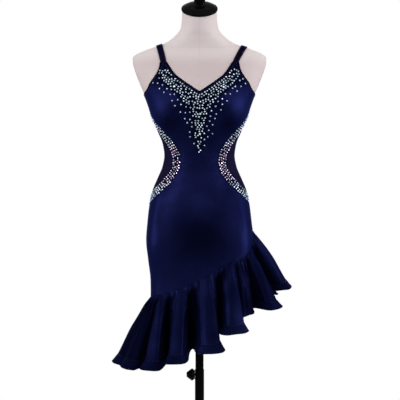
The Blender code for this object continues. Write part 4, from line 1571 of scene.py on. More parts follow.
@dataclass
class Edging:
    """The tape round the neckline and the armholes, the bindings in the seams, and the rows of stitches."""

    tape: tuple[float, float] = (0.0021, 0.0012)  # half width and half height
    tape_lift: float = 0.0019
    binding: tuple[float, float] = (0.0030, 0.0003)
    binding_lift: float = 0.0006
    over_seam: float = 0.001
    over_hip: float = 0.0035
    under_arm: float = 0.002
    steps: int = 48
    stitch: float = 0.0024
    stitch_gap: float = 0.0009
    stitch_half_width: float = 0.00028
    stitch_dip: float = 0.0002
    stitch_full: Span = (0.2, 0.8)  # the shares of its length between which a stitch is full
    stitch_rise: float = 0.6  # as a share of its half width
    row_in: float = 0.0058
    row_lift: float = 0.0026

    def edge(self, side: Side, half: Half, edges: Edges, inwards: float, lift: float) -> Path:
        """A line along one side's cut edge, from its lowest point up.

        Args:
            side: The side of the dress.
            half: The front or the back.
            edges: The armholes or the necklines.
            inwards: How far round the line lies from the edge, in metres.
            lift: How far the line lies off the body.

        Returns:
            The line's places.
        """
        rows = SHAPE.reaches(edges[half]).samples(self.steps)
        trim = math.degrees(inwards / METRES_ROUND)
        return [SHAPE.place(side.beside(row.degrees + trim, half), row.height, lift) for row in rows]

    def tape_paths(self) -> dict[str, Path]:
        """The paths of the tapes: each neckline from strap to strap, and each armhole from front to back.

        Returns:
            The paths, by the tapes' names.
        """
        paths = {}
        for half in Half:
            right, left = [self.edge(side, half, NECKLINES, 0.0, self.tape_lift) for side in Side]
            paths[f"neck_tape_{half.word}"] = right[:0:-1] + left
        for side in Side:
            front, back = [self.edge(side, half, ARMHOLES, 0.0, self.tape_lift) for half in Half]
            paths[f"arm_tape_{side.word}"] = front[:0:-1] + back
        return paths

    def binding_paths(self) -> dict[str, Path]:
        """The paths of the flat bindings inside the seams, between the velvet and the form.

        Returns:
            The paths, by the bindings' names.
        """

        def path(spots: Iterable[Spot]) -> Path:
            """Places just off the body at (angle, height)."""
            return [SHAPE.place(angle, z, self.binding_lift) for angle, z in spots]

        hips = path((angle, SHAPE.skirt_row(angle).seam + self.over_seam) for angle in range(0, 361, 3))
        paths = {"seam_binding_flounce": hips}
        rows = Curve(INSET_EDGE).samples(40)
        for side in Side:
            seam = SHAPE.skirt_row(side.angle).seam + self.over_hip
            ends = {"hip": (seam, INSET_ENDS[0]), "chest": (INSET_ENDS[1], UNDER_ARM - self.under_arm)}
            for word, (low, high) in ends.items():
                spots = [(side.angle, z) for z in even_steps(low, high, 24)]
                paths[f"seam_binding_{word}_{side.word}"] = path(spots)
            front, back = [path((side.beside(r.degrees, half), r.height) for r in rows) for half in Half]
            paths[f"seam_binding_net_{side.word}"] = front + back[-2::-1]
        return paths

    def bodice_rows(self) -> list[Path]:
        """The rows of stitches beside the necklines and the armholes."""
        rows = []
        for side in Side:
            rows += [self.edge(side, half, NECKLINES, -self.row_in, self.row_lift) for half in Half]
            rows += [self.edge(side, half, ARMHOLES, self.row_in, self.row_lift)[2:] for half in Half]
        return rows

    def stitches(self, name: str, rows: Iterable[Sequence[Place]]) -> Piece:
        """Small straight stitches along rows, as one piece.

        Args:
            name: The piece's name.
            rows: The rows' places.

        Returns:
            The piece.
        """
        bm = bmesh.new()
        for row in rows:
            run, due = 0.0, self.stitch_gap
            for (start, normal), (end, _) in zip(row, row[1:]):
                step = (end - start).length
                while due < run + step and step > 0:
                    along = (end - start) / step
                    self.one_stitch(bm, start + along * (due - run), along, normal)
                    due += self.stitch + self.stitch_gap
                run += step
        return dress(mesh_piece(name, bm), THREAD, Body.FORM)

    def one_stitch(self, bm: Mesh, start: Vector, along: Vector, normal: Vector) -> None:
        """Adds one stitch: a spindle that dips into the cloth at both ends.

        Args:
            bm: The mesh that gets it.
            start: Where it starts.
            along: The way it runs.
            normal: The way out of the cloth.
        """
        across, dip = along.cross(normal) * self.stitch_half_width, normal * self.stitch_dip
        up = normal * self.stitch_half_width
        tips = [bm.verts.new(start + along * self.stitch * share - dip) for share in (0, 1)]
        rings = []
        for share in self.stitch_full:
            middle = start + along * self.stitch * share + up * self.stitch_rise
            rings.append([bm.verts.new(middle + way) for way in (across, up, -across, -up)])
        for k in range(4):
            n = (k + 1) % 4
            bm.faces.new((tips[0], rings[0][n], rings[0][k]))
            bm.faces.new((rings[0][k], rings[0][n], rings[1][n], rings[1][k]))
            bm.faces.new((rings[1][k], rings[1][n], tips[1]))

    def build(self, strap_rows: list[Path], hem_rows: list[Path]) -> dict[str, list[Piece]]:
        """Builds the tapes, the bindings and the stitches.

        Args:
            strap_rows: The rows of stitches along the straps.
            hem_rows: The rows of stitches along the hem.

        Returns:
            The trims on each sheet of cloth, by the sheet's name.
        """
        trims = []
        for paths, size in ((self.tape_paths(), self.tape), (self.binding_paths(), self.binding)):
            trims += [dress(tape_along(name, path, *size), TAPE, Body.FORM) for name, path in paths.items()]
        trims.append(self.stitches("bodice_stitches", [*self.bodice_rows(), *strap_rows]))
        return {"velvet_front": trims, "gathered_front": [self.stitches("hem_stitches", hem_rows)]}


class Stone(NamedTuple):
    """A crystal: its place, its width and its tint, with its painted glint."""

    place: Vector
    width: float
    tint: Colour


@dataclass
class Crystals:
    """Flat-backed crystals glued to the velvet: over the chest, and in bands round the net insets."""

    lift: float = 0.0024
    width: float = 0.0046
    close: float = 0.0086
    close_gap: float = 0.74  # as a share of close
    apart: tuple[float, float] = (0.0094, 0.0150)
    stray: tuple[float, float] = (0.0009, 0.0018)
    first_row: float = 0.0098
    row_pitch: float = 0.0062
    row_count: int = 30
    neck_close: float = 0.038
    neck_reach: float = 0.070
    highest: float = 1.334
    foot_margin: float = 0.001
    arm_margin: float = 0.0060
    band_pitch: float = 0.0083
    band_rows: tuple[float, ...] = (0.0050, 0.0119, 0.0188, 0.0257)
    band_overrun: float = 0.030
    band_gap: float = 0.0056
    band_stray: float = 0.0014
    side_margin: float = 0.02
    # the strength of the painted shade on the velvet between close-set crystals
    flattened: float = 0.9
    large: tuple[Spot, ...] = (
        (-0.0740, 1.2800), (0.0705, 1.2785), (0.0025, 1.2015), (0.0010, 1.1425),
    )
    large_width: float = 0.0064
    chest_sizes: Span = (0.92, 1.06)  # the smallest and largest, as shares of width
    band_sizes: Span = (0.84, 1.04)
    # Painted glints: ranges of lightness for the crystals' tints, which also set their painted glow.
    chest_light: Span = (0.40, 1.20)
    scattered_light: Span = (0.45, 1.00)
    dim: Span = (0.25, 0.75)
    bright: Span = (1.00, 1.35)
    bright_share: float = 0.36
    rose_share: float = 0.68
    frost_share: float = 0.5
    warmth: Span = (0.55, 1.00)
    rosy_from: Span = (0.975, 1.010)  # the heights where the bands turn rosy, and icy again
    rosy_to: Span = (1.095, 1.135)
    # the distances to the fourth nearest crystal over which that painted shade fades out
    nap_close: Span = (0.0100, 0.0165)
    girdle_height: float = 0.16  # as a share of the width, as the table's is
    table_height: float = 0.44
    table_radius: float = 0.62  # as a share of the girdle's
    tilt: float = 0.09
    # painted glints: the lightness that each facet's tint is given at random
    flashes: tuple[float, ...] = (0.45, 0.7, 0.9, 1.0, 1.15, 1.3)
    seed: int = 5
    icy: Colour = (0.32, 0.52, 0.66)
    frost: Colour = (0.70, 0.81, 0.92)
    pale: Colour = (0.45, 0.53, 0.74)
    rose: Colour = (0.66, 0.33, 0.50)
    lilac: Colour = (0.38, 0.28, 0.56)

    def __post_init__(self) -> None:
        """Works out the edges that the crystals keep clear of."""
        self.rng = random.Random(self.seed)
        self.column, self.armhole = Curve(CRYSTAL_COLUMN), Curve(ARMHOLES[Half.FRONT])
        neckline = Curve(NECKLINES[Half.FRONT]).samples(40)
        self.neckline = [Vector((point.out, point.height)) for point in neckline]

    def from_neckline(self, spot: Vector) -> float:
        """The distance from a place on the front, as (sideways, height), to the neckline."""
        same_side = Vector((abs(spot.x), spot.y))
        return min((point - same_side).length for point in self.neckline)

    def row(self, distance: float) -> list[Vector]:
        """A line below the neckline from strap to strap, round the neckline's point in the middle.

        Args:
            distance: How far below the neckline the line runs.

        Returns:
            The line's points, as (sideways, height).
        """
        tip, beside = self.neckline[:2]
        slope = math.atan2(beside.y - tip.y, beside.x - tip.x)
        turns = [slope * step / 8 for step in range(8)]
        half = [tip + Vector((math.sin(turn), -math.cos(turn))) * distance for turn in turns]
        for start, end in zip(self.neckline, self.neckline[1:]):
            along = (end - start).normalized()
            half.append(start + Vector((along.y, -along.x)) * distance)
        half = [spot for spot in half if self.from_neckline(spot) > distance - 0.0004]
        return [Vector((-spot.x, spot.y)) for spot in reversed(half)] + half[1:]

    @staticmethod
    def spaced(line: Sequence[Vector], pitch: float, start: float) -> Iterator[Vector]:
        """Places along a line, a pitch apart.

        Args:
            line: The line.
            pitch: The pitch.
            start: How far along the first place is.

        Returns:
            The places, one by one.
        """
        due, run = start, 0.0
        for here, there in zip(line, line[1:]):
            step = (there - here).length
            while step and run + step >= due:
                yield here.lerp(there, (due - run) / step)
                due += pitch
            run += step

    def thinning(self, spot: Vector) -> float:
        """How far out a place on the chest is.

        Args:
            spot: The place, as (sideways, height).

        Returns:
            0 where crystals are close-set, 1 at the last of them, and 2 past them.
        """
        by_arm = spot.y > UNDER_ARM and abs(spot.x) > self.armhole.at(spot.y).out - self.arm_margin
        width = self.column.at(spot.y)
        if spot.y > self.highest or by_arm:
            return 2.0
        beside = (abs(spot.x) - width.close) / (width.reach - width.close)
        if spot.y <= CRYSTAL_COLUMN[0].height - self.foot_margin:
            beside = 2.0
        below = (self.from_neckline(spot) - self.neck_close) / (self.neck_reach - self.neck_close)
        return max(min(beside, below), 0.0)

    @staticmethod
    def blended(first: Colour, second: Colour, share: float, light: float) -> Colour:
        """A tint between two others, made lighter or darker."""
        return tuple((a + (b - a) * share) * light for a, b in zip(first, second))

    def chest_tint(self, scattered: bool) -> Colour:
        """A tint for a crystal on the chest, with a painted glint: a random lightness, dimmer among the
        scattered ones.
        """
        share, (dim, bright) = self.rng.random(), self.scattered_light
        if scattered:
            return lit(self.pale, dim + (bright - dim) * share)
        return self.blended(self.icy, self.frost, share, self.rng.uniform(*self.chest_light))

    def chest(self) -> list[Stone]:
        """The crystals over the chest, in close rows by the neckline and scattered below them.

        Returns:
            The crystals, the large ones first.
        """
        stones = [Stone(SHAPE.across(x, z, Half.FRONT), self.large_width, self.frost) for x, z in self.large]
        found = []
        for number in range(self.row_count):
            line = self.row(self.first_row + self.row_pitch * number)
            for spot in self.spaced(line, self.close, self.close * self.rng.random()):
                thinning = self.thinning(spot)
                if thinning <= 1:
                    found.append((thinning, self.rng.random(), spot))
        for thinning, _, spot in sorted(found, key=lambda item: item[:2]):
            scattered, (near, far) = thinning > 0, self.apart
            gap = near + (far - near) * thinning if scattered else self.close * self.close_gap
            stray = self.stray[scattered]
            x, z = (value + self.rng.uniform(-stray, stray) for value in spot)
            base = SHAPE.across(x, z, Half.FRONT)
            if all((base - stone.place).length > gap for stone in stones):
                size = self.width * self.rng.uniform(*self.chest_sizes)
                stones.append(Stone(base, size, self.chest_tint(scattered)))
        return stones

    def band_tint(self, z: float) -> Colour:
        """A tint for a crystal of a band: icy at the band's ends, rosy in the middle, with a painted glint that
        makes some bright and the rest dim.
        """
        rosy = smooth_step(z, *self.rosy_from) * (1 - smooth_step(z, *self.rosy_to))
        warm = self.rose if self.rng.random() < self.rose_share else self.lilac
        cold = self.frost if self.rng.random() < self.frost_share else self.icy
        share, bright = rosy * self.rng.uniform(*self.warmth), self.rng.random() < self.bright_share
        return self.blended(cold, warm, share, self.rng.uniform(*(self.bright if bright else self.dim)))

    def band(self, side: Side, half: Half) -> list[Stone]:
        """The band of crystals on a panel along one side's inset.

        Args:
            side: The side of the dress.
            half: The panel.

        Returns:
            Its crystals.
        """
        rows = Curve(INSET_EDGE).samples(160)
        edge = [SHAPE.place(side.beside(row.degrees, half), row.height, 0.0) for row in rows]
        stones: list[Stone] = []
        for number, offset in enumerate(self.band_rows):
            line = []
            for (start, normal), (end, _) in zip(edge, edge[1:]):
                away = (end - start).normalized().cross(normal) * side.value * half.value
                line.append(end + away * offset)
            line.insert(0, line[0] + (line[0] - line[1]).normalized() * self.band_overrun)
            line.append(line[-1] + (line[-1] - line[-2]).normalized() * self.band_overrun)
            for near in self.spaced(line, self.band_pitch, self.band_pitch * (0.3 + 0.5 * (number % 2))):
                astray, aside = (self.rng.uniform(-self.band_stray, self.band_stray) for _ in range(2))
                angle = SHAPE.angle_of(near) + math.degrees(aside / math.hypot(near.x, near.y))
                base = SHAPE.point(angle, near.z + astray)
                on_panel = math.sin(math.radians(angle)) * half.value > self.side_margin
                if on_panel and all((base - stone.place).length > self.band_gap for stone in stones):
                    size = self.width * self.rng.uniform(*self.band_sizes)
                    stones.append(Stone(base, size, self.band_tint(near.z)))
        return stones

    def cut(self, bm: Mesh, tint: bmesh.types.BMLayerItem, stone: Stone) -> None:
        """Adds one crystal: a flat back, a girdle, sixteen facets and a table.

        Args:
            bm: The mesh that gets it.
            tint: The mesh's layer of tints.
            stone: The crystal.
        """
        normal = SHAPE.normal(stone.place)
        up = (normal + Vector([self.rng.uniform(-self.tilt, self.tilt) for _ in range(3)])).normalized()
        right = up.orthogonal().normalized()
        ahead = up.cross(right)
        spin = self.rng.uniform(0, math.pi)
        foot, radius = stone.place + normal * self.lift, stone.width / 2
        rings, table_cut = [], (self.table_radius, self.table_height, 0.5)
        for share, height, turn in ((1.0, 0.0, 0.0), (1.0, self.girdle_height, 0.0), table_cut):
            angles = [spin + (k + turn) * math.pi / 4 for k in range(8)]
            ways = [right * math.cos(angle) + ahead * math.sin(angle) for angle in angles]
            rings.append([bm.verts.new(foot + way * radius * share + up * radius * height * 2) for way in ways])
        low, girdle, top = rings
        faces = [bm.faces.new(reversed(low)), bm.faces.new(top)]
        for k in range(8):
            n = (k + 1) % 8
            faces.append(bm.faces.new((low[k], low[n], girdle[n], girdle[k])))
            faces.append(bm.faces.new((girdle[k], girdle[n], top[k])))
            faces.append(bm.faces.new((top[k], girdle[n], top[n])))
        # Each facet gets a painted glint: its tint made lighter or darker at random.
        for face in faces:
            glint = self.rng.choice(self.flashes)
            for loop in face.loops:
                loop[tint] = (*[min(value * glint, 1.0) for value in stone.tint], 1.0)

    def piece(self, name: str, stones: Iterable[Stone]) -> Piece:
        """Crystals as one piece."""
        bm = bmesh.new()
        tint = bm.loops.layers.float_color.new("tint")
        for stone in stones:
            self.cut(bm, tint, stone)
        return dress(mesh_piece(name, bm, None), CRYSTAL, Body.FORM)

    def flatten_nap(self, panel: Piece, stones: Sequence[Stone]) -> None:
        """Marks painted shade on a panel where crystals are close-set, darkening the velvet between them."""
        tree = KDTree(len(stones))
        for number, stone in enumerate(stones):
            tree.insert(stone.place, number)
        tree.balance()
        fourth = [tree.find_n(vert.co, 4)[-1][2] for vert in panel.data.vertices]
        mark_valleys(panel, [self.flattened * (1 - smooth_step(away, *self.nap_close)) for away in fourth])

    def build(self, panels: Iterable[Piece]) -> list[Piece]:
        """Builds all crystals, glued to the velvet panels, and marks painted shade on the panels between
        close-set ones.
        """
        groups = {"crystals_chest": self.chest()}
        for side in Side:
            for half in Half:
                groups[f"crystals_{half.word}_{side.word}"] = self.band(side, half)
        for panel in panels:
            self.flatten_nap(panel, [stone for stones in groups.values() for stone in stones])
        return [self.piece(name, stones) for name, stones in groups.items()]


def deselect() -> None:
    """Leaves nothing selected, in object mode."""
    bpy.ops.object.select_all(action="DESELECT")


def make_active(piece: Piece) -> None:
    """Selects one piece only."""
    deselect()
    piece.select_set(True)
    bpy.context.view_layer.objects.active = piece


def put_place_in_mesh() -> None:
    """Puts the selected piece's place, turn and size into its mesh."""
    bpy.ops.object.transform_apply(location=True, rotation=True, scale=True)


def turned(
    name: str, profile: Sequence[Spot], segments: int, bevel: float = 0.0, on_axis: float = 0.00005
) -> Piece:
    """A piece turned round Z: a ring is extruded and scaled along a profile.

    Args:
        name: The piece's name.
        profile: The rings' (radius, height). A radius of 0 closes the piece on the axis.
        segments: How many sides the rings have.
        bevel: The width of the bevel on its sharp edges.
        on_axis: The radius that a ring on the axis has before it is closed.

    Returns:
        The new object, with its place in its mesh.
    """
    rings = [(max(radius, on_axis), height) for radius, height in profile]
    deselect()
    bpy.ops.mesh.primitive_circle_add(vertices=segments, radius=rings[0][0], location=(0, 0, rings[0][1]))
    made = bpy.context.object
    made.name = made.data.name = name
    bpy.ops.object.mode_set(mode="EDIT")
    bpy.ops.mesh.select_all(action="SELECT")
    for (radius, height), (next_radius, next_height) in zip(rings, rings[1:]):
        bpy.ops.mesh.extrude_region_move(TRANSFORM_OT_translate={"value": (0, 0, next_height - height)})
        scale = next_radius / radius
        bpy.ops.transform.resize(value=(scale, scale, 1))
    bpy.ops.mesh.select_all(action="SELECT")
    bpy.ops.mesh.remove_doubles(threshold=on_axis * 2.2)
    bpy.ops.mesh.normals_make_consistent(inside=False)
    bpy.ops.object.mode_set(mode="OBJECT")
    put_place_in_mesh()
    if bevel:
        edges = made.modifiers.new("bevel", "BEVEL")
        edges.width, edges.segments, edges.limit_method = bevel, 2, "ANGLE"
        edges.angle_limit = math.radians(35)
        bpy.ops.object.modifier_apply(modifier=edges.name)
    bpy.ops.object.shade_smooth_by_angle(angle=math.radians(40))
    return made


def move_into_place(piece: Piece, place: Matrix) -> None:
    """Turns and moves a piece, and puts its new place into its mesh."""
    make_active(piece)
    piece.matrix_world = place
    put_place_in_mesh()


MAST_RADIUS = 0.0125
FORM_BOTTOM = 0.752
FLANGE_THICKNESS = 0.004


@dataclass
class DressForm:
    """The limbless form: its trunk, shoulders and neck in one, the cap on its neck and the socket under it."""

    bottom_round: float = 0.95
    bottom_edge: float = 0.985
    bottom_rise: float = 0.002
    column_angle: float = 2.5
    uv_per_degree: float = 0.0022
    ring_gap: float = 0.006
    fine_from: float = 1.360
    fine_rings: int = 26
    shoulder_top: float = 1.436
    neck_from: float = 1.420
    neck_steps: int = 5
    cap_radius: float = 0.0550
    cap_rim: float = 0.0070
    cap_dome: float = 0.0130
    finial_radius: float = 0.0186
    finial_height: float = 0.0300
    socket_radius: float = 0.0170
    socket_length: float = 0.050
    socket_fillet: float = 0.003
    flange_radius: float = 0.045

    def neck(self, below: list[Vector], last: list[Vector], angles: Sequence[float]) -> list[list[Vector]]:
        """The neck's rings, joined smoothly to the last two rings of the shoulders.

        Args:
            below: The last ring but one.
            last: The last ring.
            angles: Where round each ring its points are.

        Returns:
            The rings.
        """
        knots = [below, last]
        for ring in NECK:
            tip = Matrix.Rotation(math.radians(ring.tilt), 4, "X")
            middle = Vector((0, ring.middle, ring.height))
            spots = [(math.cos(math.radians(angle)), math.sin(math.radians(angle))) for angle in angles]
            points = [Vector((ring.half_width * x, ring.half_depth * y, 0)) for x, y in spots]
            knots.append([middle + tip @ point for point in points])
        knots.append([b * 2 - a for a, b in zip(knots[-2], knots[-1])])
        rings = []
        for four in zip(knots, knots[1:], knots[2:], knots[3:]):
            for share in even_steps(0, 1, self.neck_steps)[1:]:
                rings.append([self.between(*points, share) for points in zip(*four)])
        return rings

    @staticmethod
    def between(a: Vector, b: Vector, c: Vector, d: Vector, t: float) -> Vector:
        """The point a share of the way from b to c, on a smooth line through four points."""
        bend, twist = 2 * a - 5 * b + 4 * c - d, 3 * b - a - 3 * c + d
        return 0.5 * (2 * b + (c - a) * t + bend * t * t + twist * t**3)

    def torso(self) -> Piece:
        """The form's trunk, shoulders and neck, lofted through fine rings.

        Returns:
            The form.
        """
        angles = [self.column_angle * i for i in range(round(360 / self.column_angle))]

        def ring(z: float, scale: float = 1.0) -> list[Vector]:
            """A level ring of the body."""
            return [SHAPE.point(angle, z, scale) for angle in angles]

        count = round((self.fine_from - FORM_BOTTOM) / self.ring_gap)
        heights = even_steps(FORM_BOTTOM, self.fine_from, count)[1:]
        heights += even_steps(self.fine_from, self.shoulder_top, self.fine_rings)[1:]
        rings = [ring(FORM_BOTTOM, self.bottom_round * share) for share in (0.5, 0.96, 1.0)]
        rings += [ring(FORM_BOTTOM + self.bottom_rise, self.bottom_edge), *[ring(z) for z in heights]]
        rings += self.neck(ring(self.neck_from), rings[-1], angles)
        runs = [row * self.ring_gap for row in range(len(rings))]
        made = lofted("jersey_form", rings, self.column_angle * self.uv_per_degree, runs, 60.0)
        return dress(made, JERSEY, Body.FORM, "form_torso")

    def cap(self) -> Piece:
        """The glossy dished cap on the neck, with its finial, tipped as the neck is.

        Returns:
            The cap.
        """
        top, radius, rim, knob = NECK[-1], self.cap_radius, self.cap_rim, self.cap_rim + self.cap_dome
        dome = [(0.80, 0.42), (0.68, 0.62), (0.55, 0.78), (0.42, 0.89)]
        finial = [(1.06, -0.03), (0.99, 0.03), (0.95, 0.12), (0.92, 0.26), (0.93, 0.38), (0.97, 0.50)]
        finial += [(1.00, 0.62), (0.98, 0.74), (0.88, 0.84), (0.70, 0.92), (0.44, 0.98), (0.2, 0.997), (0, 1)]
        profile = [(0.0, 0.0), (radius - 0.002, 0.0), (radius - 0.0006, 0.0007), (radius, 0.002)]
        profile += [(radius, rim - 0.002), (radius - 0.0010, rim - 0.0006), (radius - 0.003, rim)]
        profile += [(radius * out, rim + self.cap_dome * up) for out, up in dome]
        profile += [(self.finial_radius * out, knob + self.finial_height * up) for out, up in finial]
        made = turned("dished_cap", profile, 72)
        seat = Matrix.Translation((0, top.middle, top.height)) @ Matrix.Rotation(math.radians(top.tilt), 4, "X")
        move_into_place(made, seat @ Matrix.Translation((0, 0, GAP)))
        return dress(made, GLOSS, Body.FORM, "neck_cap")

    def socket(self) -> Piece:
        """The flange under the form, with the socket that turns on the mast's top."""
        top, bore, out, fillet = FORM_BOTTOM - GAP, MAST_RADIUS + GAP, self.socket_radius, self.socket_fillet
        under = top - FLANGE_THICKNESS
        end = under - self.socket_length
        profile = [(0.0, top), (self.flange_radius, top), (self.flange_radius, under), (out + fillet, under)]
        profile += [(out, under - fillet), (out, end), (bore, end), (bore, under), (0.0, under)]
        return dress(turned("turning_socket", profile, 48, 0.0006), POWDER_COAT, Body.FORM, "form_socket")

    def build(self) -> list[Piece]:
        """Builds the form's pieces."""
        return [self.torso(), self.cap(), self.socket()]


@dataclass
class Stand:
    """The pole stand: base plate, collar, lower tube, sliding mast and clamp knob."""

    tube_wall: float = 0.0012
    burr: float = 0.0003
    mast_bottom: float = 0.170
    mast_top: float = FORM_BOTTOM - 2 * GAP - FLANGE_THICKNESS
    tube_top: float = 0.4215
    tube_radius: float = MAST_RADIUS + GAP + 0.0012  # the mast just slides in it
    base_radius: float = 0.190
    base_thickness: float = 0.006
    collar_height: float = 0.050
    knob_height: float = 0.4055
    knob_length: float = 0.0255
    knob_grips: int = 6
    grip_depth: float = 0.10
    grip_from: float = 0.0132
    grip_full: float = 0.0054
    stud_radius: float = 0.0030

    def tube(self, name: str, radius: float, bottom: float, top: float) -> Piece:
        """A round steel tube with its ends deburred."""
        bore, burr = radius - self.tube_wall, self.burr
        profile = [(bore, bottom), (radius - burr, bottom), (radius, bottom + burr)]
        profile += [(radius, top - burr), (radius - burr, top), (bore, top), (bore, bottom)]
        return turned(name, profile, 56)

    def lower_tube(self) -> Piece:
        """The outer tube, with the hole for the clamp's stud near its top.

        Returns:
            The tube.
        """
        made = self.tube("lower_tube_outer", self.tube_radius, self.base_thickness + GAP, self.tube_top)
        deselect()
        size = {"radius": self.stud_radius + GAP, "depth": self.tube_radius, "rotation": (0, math.pi / 2, 0)}
        place = (-self.tube_radius, 0, self.knob_height)
        bpy.ops.mesh.primitive_cylinder_add(vertices=24, location=place, **size)
        drill = bpy.context.object
        hole = made.modifiers.new("stud_hole", "BOOLEAN")
        hole.operation, hole.object = "DIFFERENCE", drill
        make_active(made)
        bpy.ops.object.modifier_apply(modifier=hole.name)
        bpy.data.objects.remove(drill)
        return dress(made, POWDER_COAT, Body.STAND, "lower_tube")

    def base(self) -> Piece:
        """The round foot, flat underneath, with a rolled upper edge."""
        r, t = self.base_radius, self.base_thickness
        profile = [(0.0, 0.0), (r - 0.001, 0.0), (r, 0.001), (r, t * 0.5), (r - 0.0008, t * 0.72)]
        profile += [(r - 0.0022, t * 0.88), (r - 0.0045, t * 0.98), (r - 0.006, t), (r * 0.5, t), (0.0, t)]
        return dress(turned("foot_plate", profile, 128), POWDER_COAT, Body.STAND, "base_plate")

    def collar(self) -> Piece:
        """The collar that holds the lower tube upright."""
        low, bore = self.base_thickness + GAP, self.tube_radius + GAP
        high = low + self.collar_height
        profile = [(bore, low), (0.036, low), (0.036, low + 0.004), (0.030, low + 0.0058)]
        profile += [(0.0255, low + 0.0074), (0.0222, low + 0.0105), (0.020, low + 0.016)]
        profile += [(0.019, high - 0.002), (0.017, high), (bore, high), (bore, low)]
        return dress(turned("foot_collar", profile, 56, 0.0005), POWDER_COAT, Body.STAND, "base_collar")

    def knob(self) -> Piece:
        """The fluted hand knob with its stud, along -X.

        Returns:
            The knob.
        """
        seat, tip = self.tube_radius + GAP, MAST_RADIUS + GAP
        grip = [(0.0125, 0.0), (0.0137, 0.022), (0.0142, 0.06), (0.0150, 0.14), (0.0170, 0.20), (0.0183, 0.26)]
        grip += [(0.0187, 0.32), (0.0186, 0.38), (0.0172, 0.46), (0.0130, 0.68), (0.0098, 0.84), (0.0080, 0.93)]
        grip += [(0.0068, 0.98), (0.0050, 1.0), (0.0, 1.0)]
        stud = [(0.0, tip), (self.stud_radius, tip), (self.stud_radius, seat)]
        made = turned("clamp_handle", stud + [(r, seat + self.knob_length * share) for r, share in grip], 96)
        for vert in made.data.vertices:
            share = max(vert.co.xy.length - self.grip_from, 0.0) / self.grip_full
            turn = self.knob_grips * math.atan2(vert.co.y, vert.co.x)
            vert.co.xy = vert.co.xy * (1 - self.grip_depth * share * (1 - math.cos(turn)) / 2)
        lying = Matrix.Rotation(-math.pi / 2, 4, "Y")
        move_into_place(made, Matrix.Translation((0, 0, self.knob_height)) @ lying)
        return dress(made, KNOB_PLASTIC, Body.KNOB, "clamp_knob")

    def mast(self) -> Piece:
        """The sliding mast."""
        made = self.tube("sliding_mast", MAST_RADIUS, self.mast_bottom, self.mast_top)
        return dress(made, POWDER_COAT, Body.MAST, "mast_tube")

    def build(self) -> list[Piece]:
        """Builds the stand's pieces."""
        return [self.base(), self.collar(), self.lower_tube(), self.mast(), self.knob()]


class Lamp(NamedTuple):
    """A soft box: its name, place, aim, width, height and power."""

    name: str
    place: tuple[float, float, float]
    aim: tuple[float, float, float]
    width: float
    height: float
    power: float


def aimed(name: str, data: bpy.types.ID, place: Sequence[float], aim: Sequence[float]) -> bpy.types.Object:
    """Hangs a lamp or a camera in the scene, looking from its place at its aim."""
    made = bpy.data.objects.new(name, data)
    made.location = place
    made.rotation_euler = (Vector(aim) - Vector(place)).to_track_quat("-Z", "Y").to_euler()
    bpy.context.scene.collection.objects.link(made)
    return made


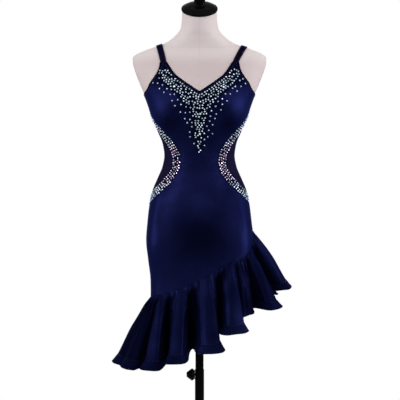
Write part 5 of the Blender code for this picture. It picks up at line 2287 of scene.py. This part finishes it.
@dataclass
class Studio:
    """The pale floor, the white surroundings, the soft boxes and the camera."""

    floor_radius: float = 1.45
    floor_drop: float = 0.001
    surroundings: Span = (0.08, 0.42)
    camera_place: tuple[float, float, float] = (0.0015, -3.5, 1.10)
    camera_aim: tuple[float, float, float] = (0.0015, 0.0, 0.942)
    view_width: float = 1.22
    lamps: tuple[Lamp, ...] = table(
        Lamp,
        ("key_box", (-2.1, -2.0, 1.9), (0, 0, 1.10), 1.2, 1.2, 36),
        ("fill_box", (2.1, -2.0, 1.9), (0, 0, 1.10), 1.2, 1.2, 31),
        ("front_box", (0.0, -4.2, 1.6), (0, 0, 1.05), 2.0, 1.0, 14),
        ("left_strip", (-1.9, -0.10, 1.35), (0, 0, 1.15), 0.5, 1.8, 13),
        ("right_strip", (1.9, -0.10, 1.35), (0, 0, 1.15), 0.5, 1.8, 20),
        ("back_box", (0.0, 3.0, 2.2), (0, 0, 1.0), 2.4, 1.6, 26),
        ("top_box", (0.0, -0.3, 3.0), (0, 0, 1.2), 1.6, 1.6, 4),
    )

    def floor(self) -> None:
        """The round sheet of pale paper under the stand."""
        deselect()
        bpy.ops.mesh.primitive_circle_add(
            vertices=96, radius=self.floor_radius, fill_type="NGON", location=(0, 0, -self.floor_drop)
        )
        made = bpy.context.object
        made.name = "studio_floor"
        put_place_in_mesh()
        made.data.materials.append(PAPER.material())

    def surround(self) -> None:
        """White surroundings for the camera, and dimmer ones for the light they give."""
        world = bpy.data.worlds.new("white_studio")
        bpy.context.scene.world = world
        world.use_nodes = True
        backdrop, graph = world.node_tree.nodes["Background"], Graph(world.node_tree)
        seen = graph.node("ShaderNodeLightPath").outputs["Is Camera Ray"]
        given = graph.span(graph.axis(graph.place("Generated"), "Z"), -0.25, 0.55, *self.surroundings)
        strength = graph.node("ShaderNodeMix", {"Factor": seen, "A": given, "B": 1.0}, data_type="FLOAT")
        graph.feed(backdrop.inputs["Color"], (1.0, 1.0, 1.0))
        graph.feed(backdrop.inputs["Strength"], strength.outputs["Result"])

    def camera(self) -> None:
        """The camera, level with the chest and a little above the middle of the view."""
        data = bpy.data.cameras.new("studio_camera")
        data.lens = data.sensor_width * math.dist(self.camera_place, self.camera_aim) / self.view_width
        bpy.context.scene.camera = aimed("studio_camera", data, self.camera_place, self.camera_aim)

    def light(self) -> None:
        """Hangs the soft boxes."""
        for lamp in self.lamps:
            data = bpy.data.lights.new(lamp.name, "AREA")
            data.shape, data.size, data.size_y, data.energy = "RECTANGLE", lamp.width, lamp.height, lamp.power
            aimed(lamp.name, data, lamp.place, lamp.aim).visible_camera = False
        log.info("studio: %d soft boxes", len(self.lamps))

    def build(self) -> None:
        """Sets up the whole studio."""
        self.camera()
        self.floor()
        self.surround()
        self.light()
        bpy.context.scene.view_settings.view_transform = "Standard"


class SheetSize(NamedTuple):
    """The cut of a cloth piece: its width and length laid flat, its flat area, and how it is held."""

    name: str
    width: float
    length: float
    area: float
    held: str


SHEETS = table(
    SheetSize,
    ("velvet_front", 0.465, 0.720, 0.213, "stretched"),
    ("velvet_back", 0.465, 0.680, 0.197, "stretched"),
    *[(f"side_net_{side.word}", 0.160, 0.235, 0.021, "stretched") for side in Side],
    *[(f"velvet_strap_{side.word}", 0.018, 0.235, 0.0042, "stretched") for side in Side],
    ("gathered_front", 1.30, 0.235, 0.200, "gathered"),
    ("gathered_back", 1.40, 0.235, 0.210, "gathered"),
)


def declare_cloth(trims: dict[str, list[Piece]]) -> None:
    """Looks up each sheet of cloth and the trims sewn on it, and does nothing more with them.

    Args:
        trims: The trims sewn on a sheet, by the sheet's name.
    """
    for size in SHEETS:
        cloth, flat, sewn_on = bpy.data.objects[size.name], (size.width, size.length), trims.get(size.name, [])
        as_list(sewn_on)


def main() -> None:
    """Builds the studio and every piece, in the order in which they lie on each other."""
    logging.basicConfig(level=logging.INFO, format="%(message)s")
    Studio().build()
    Stand().build()
    DressForm().build()
    front, back, *_ = Bodice().build()
    straps = Straps()
    straps.build()
    hem_rows = Flounce().build()
    trims = Edging().build(straps.stitch_rows(), hem_rows)
    Crystals().build([front, back])
    declare_cloth(trims)


if __name__ == "__main__":
    main()
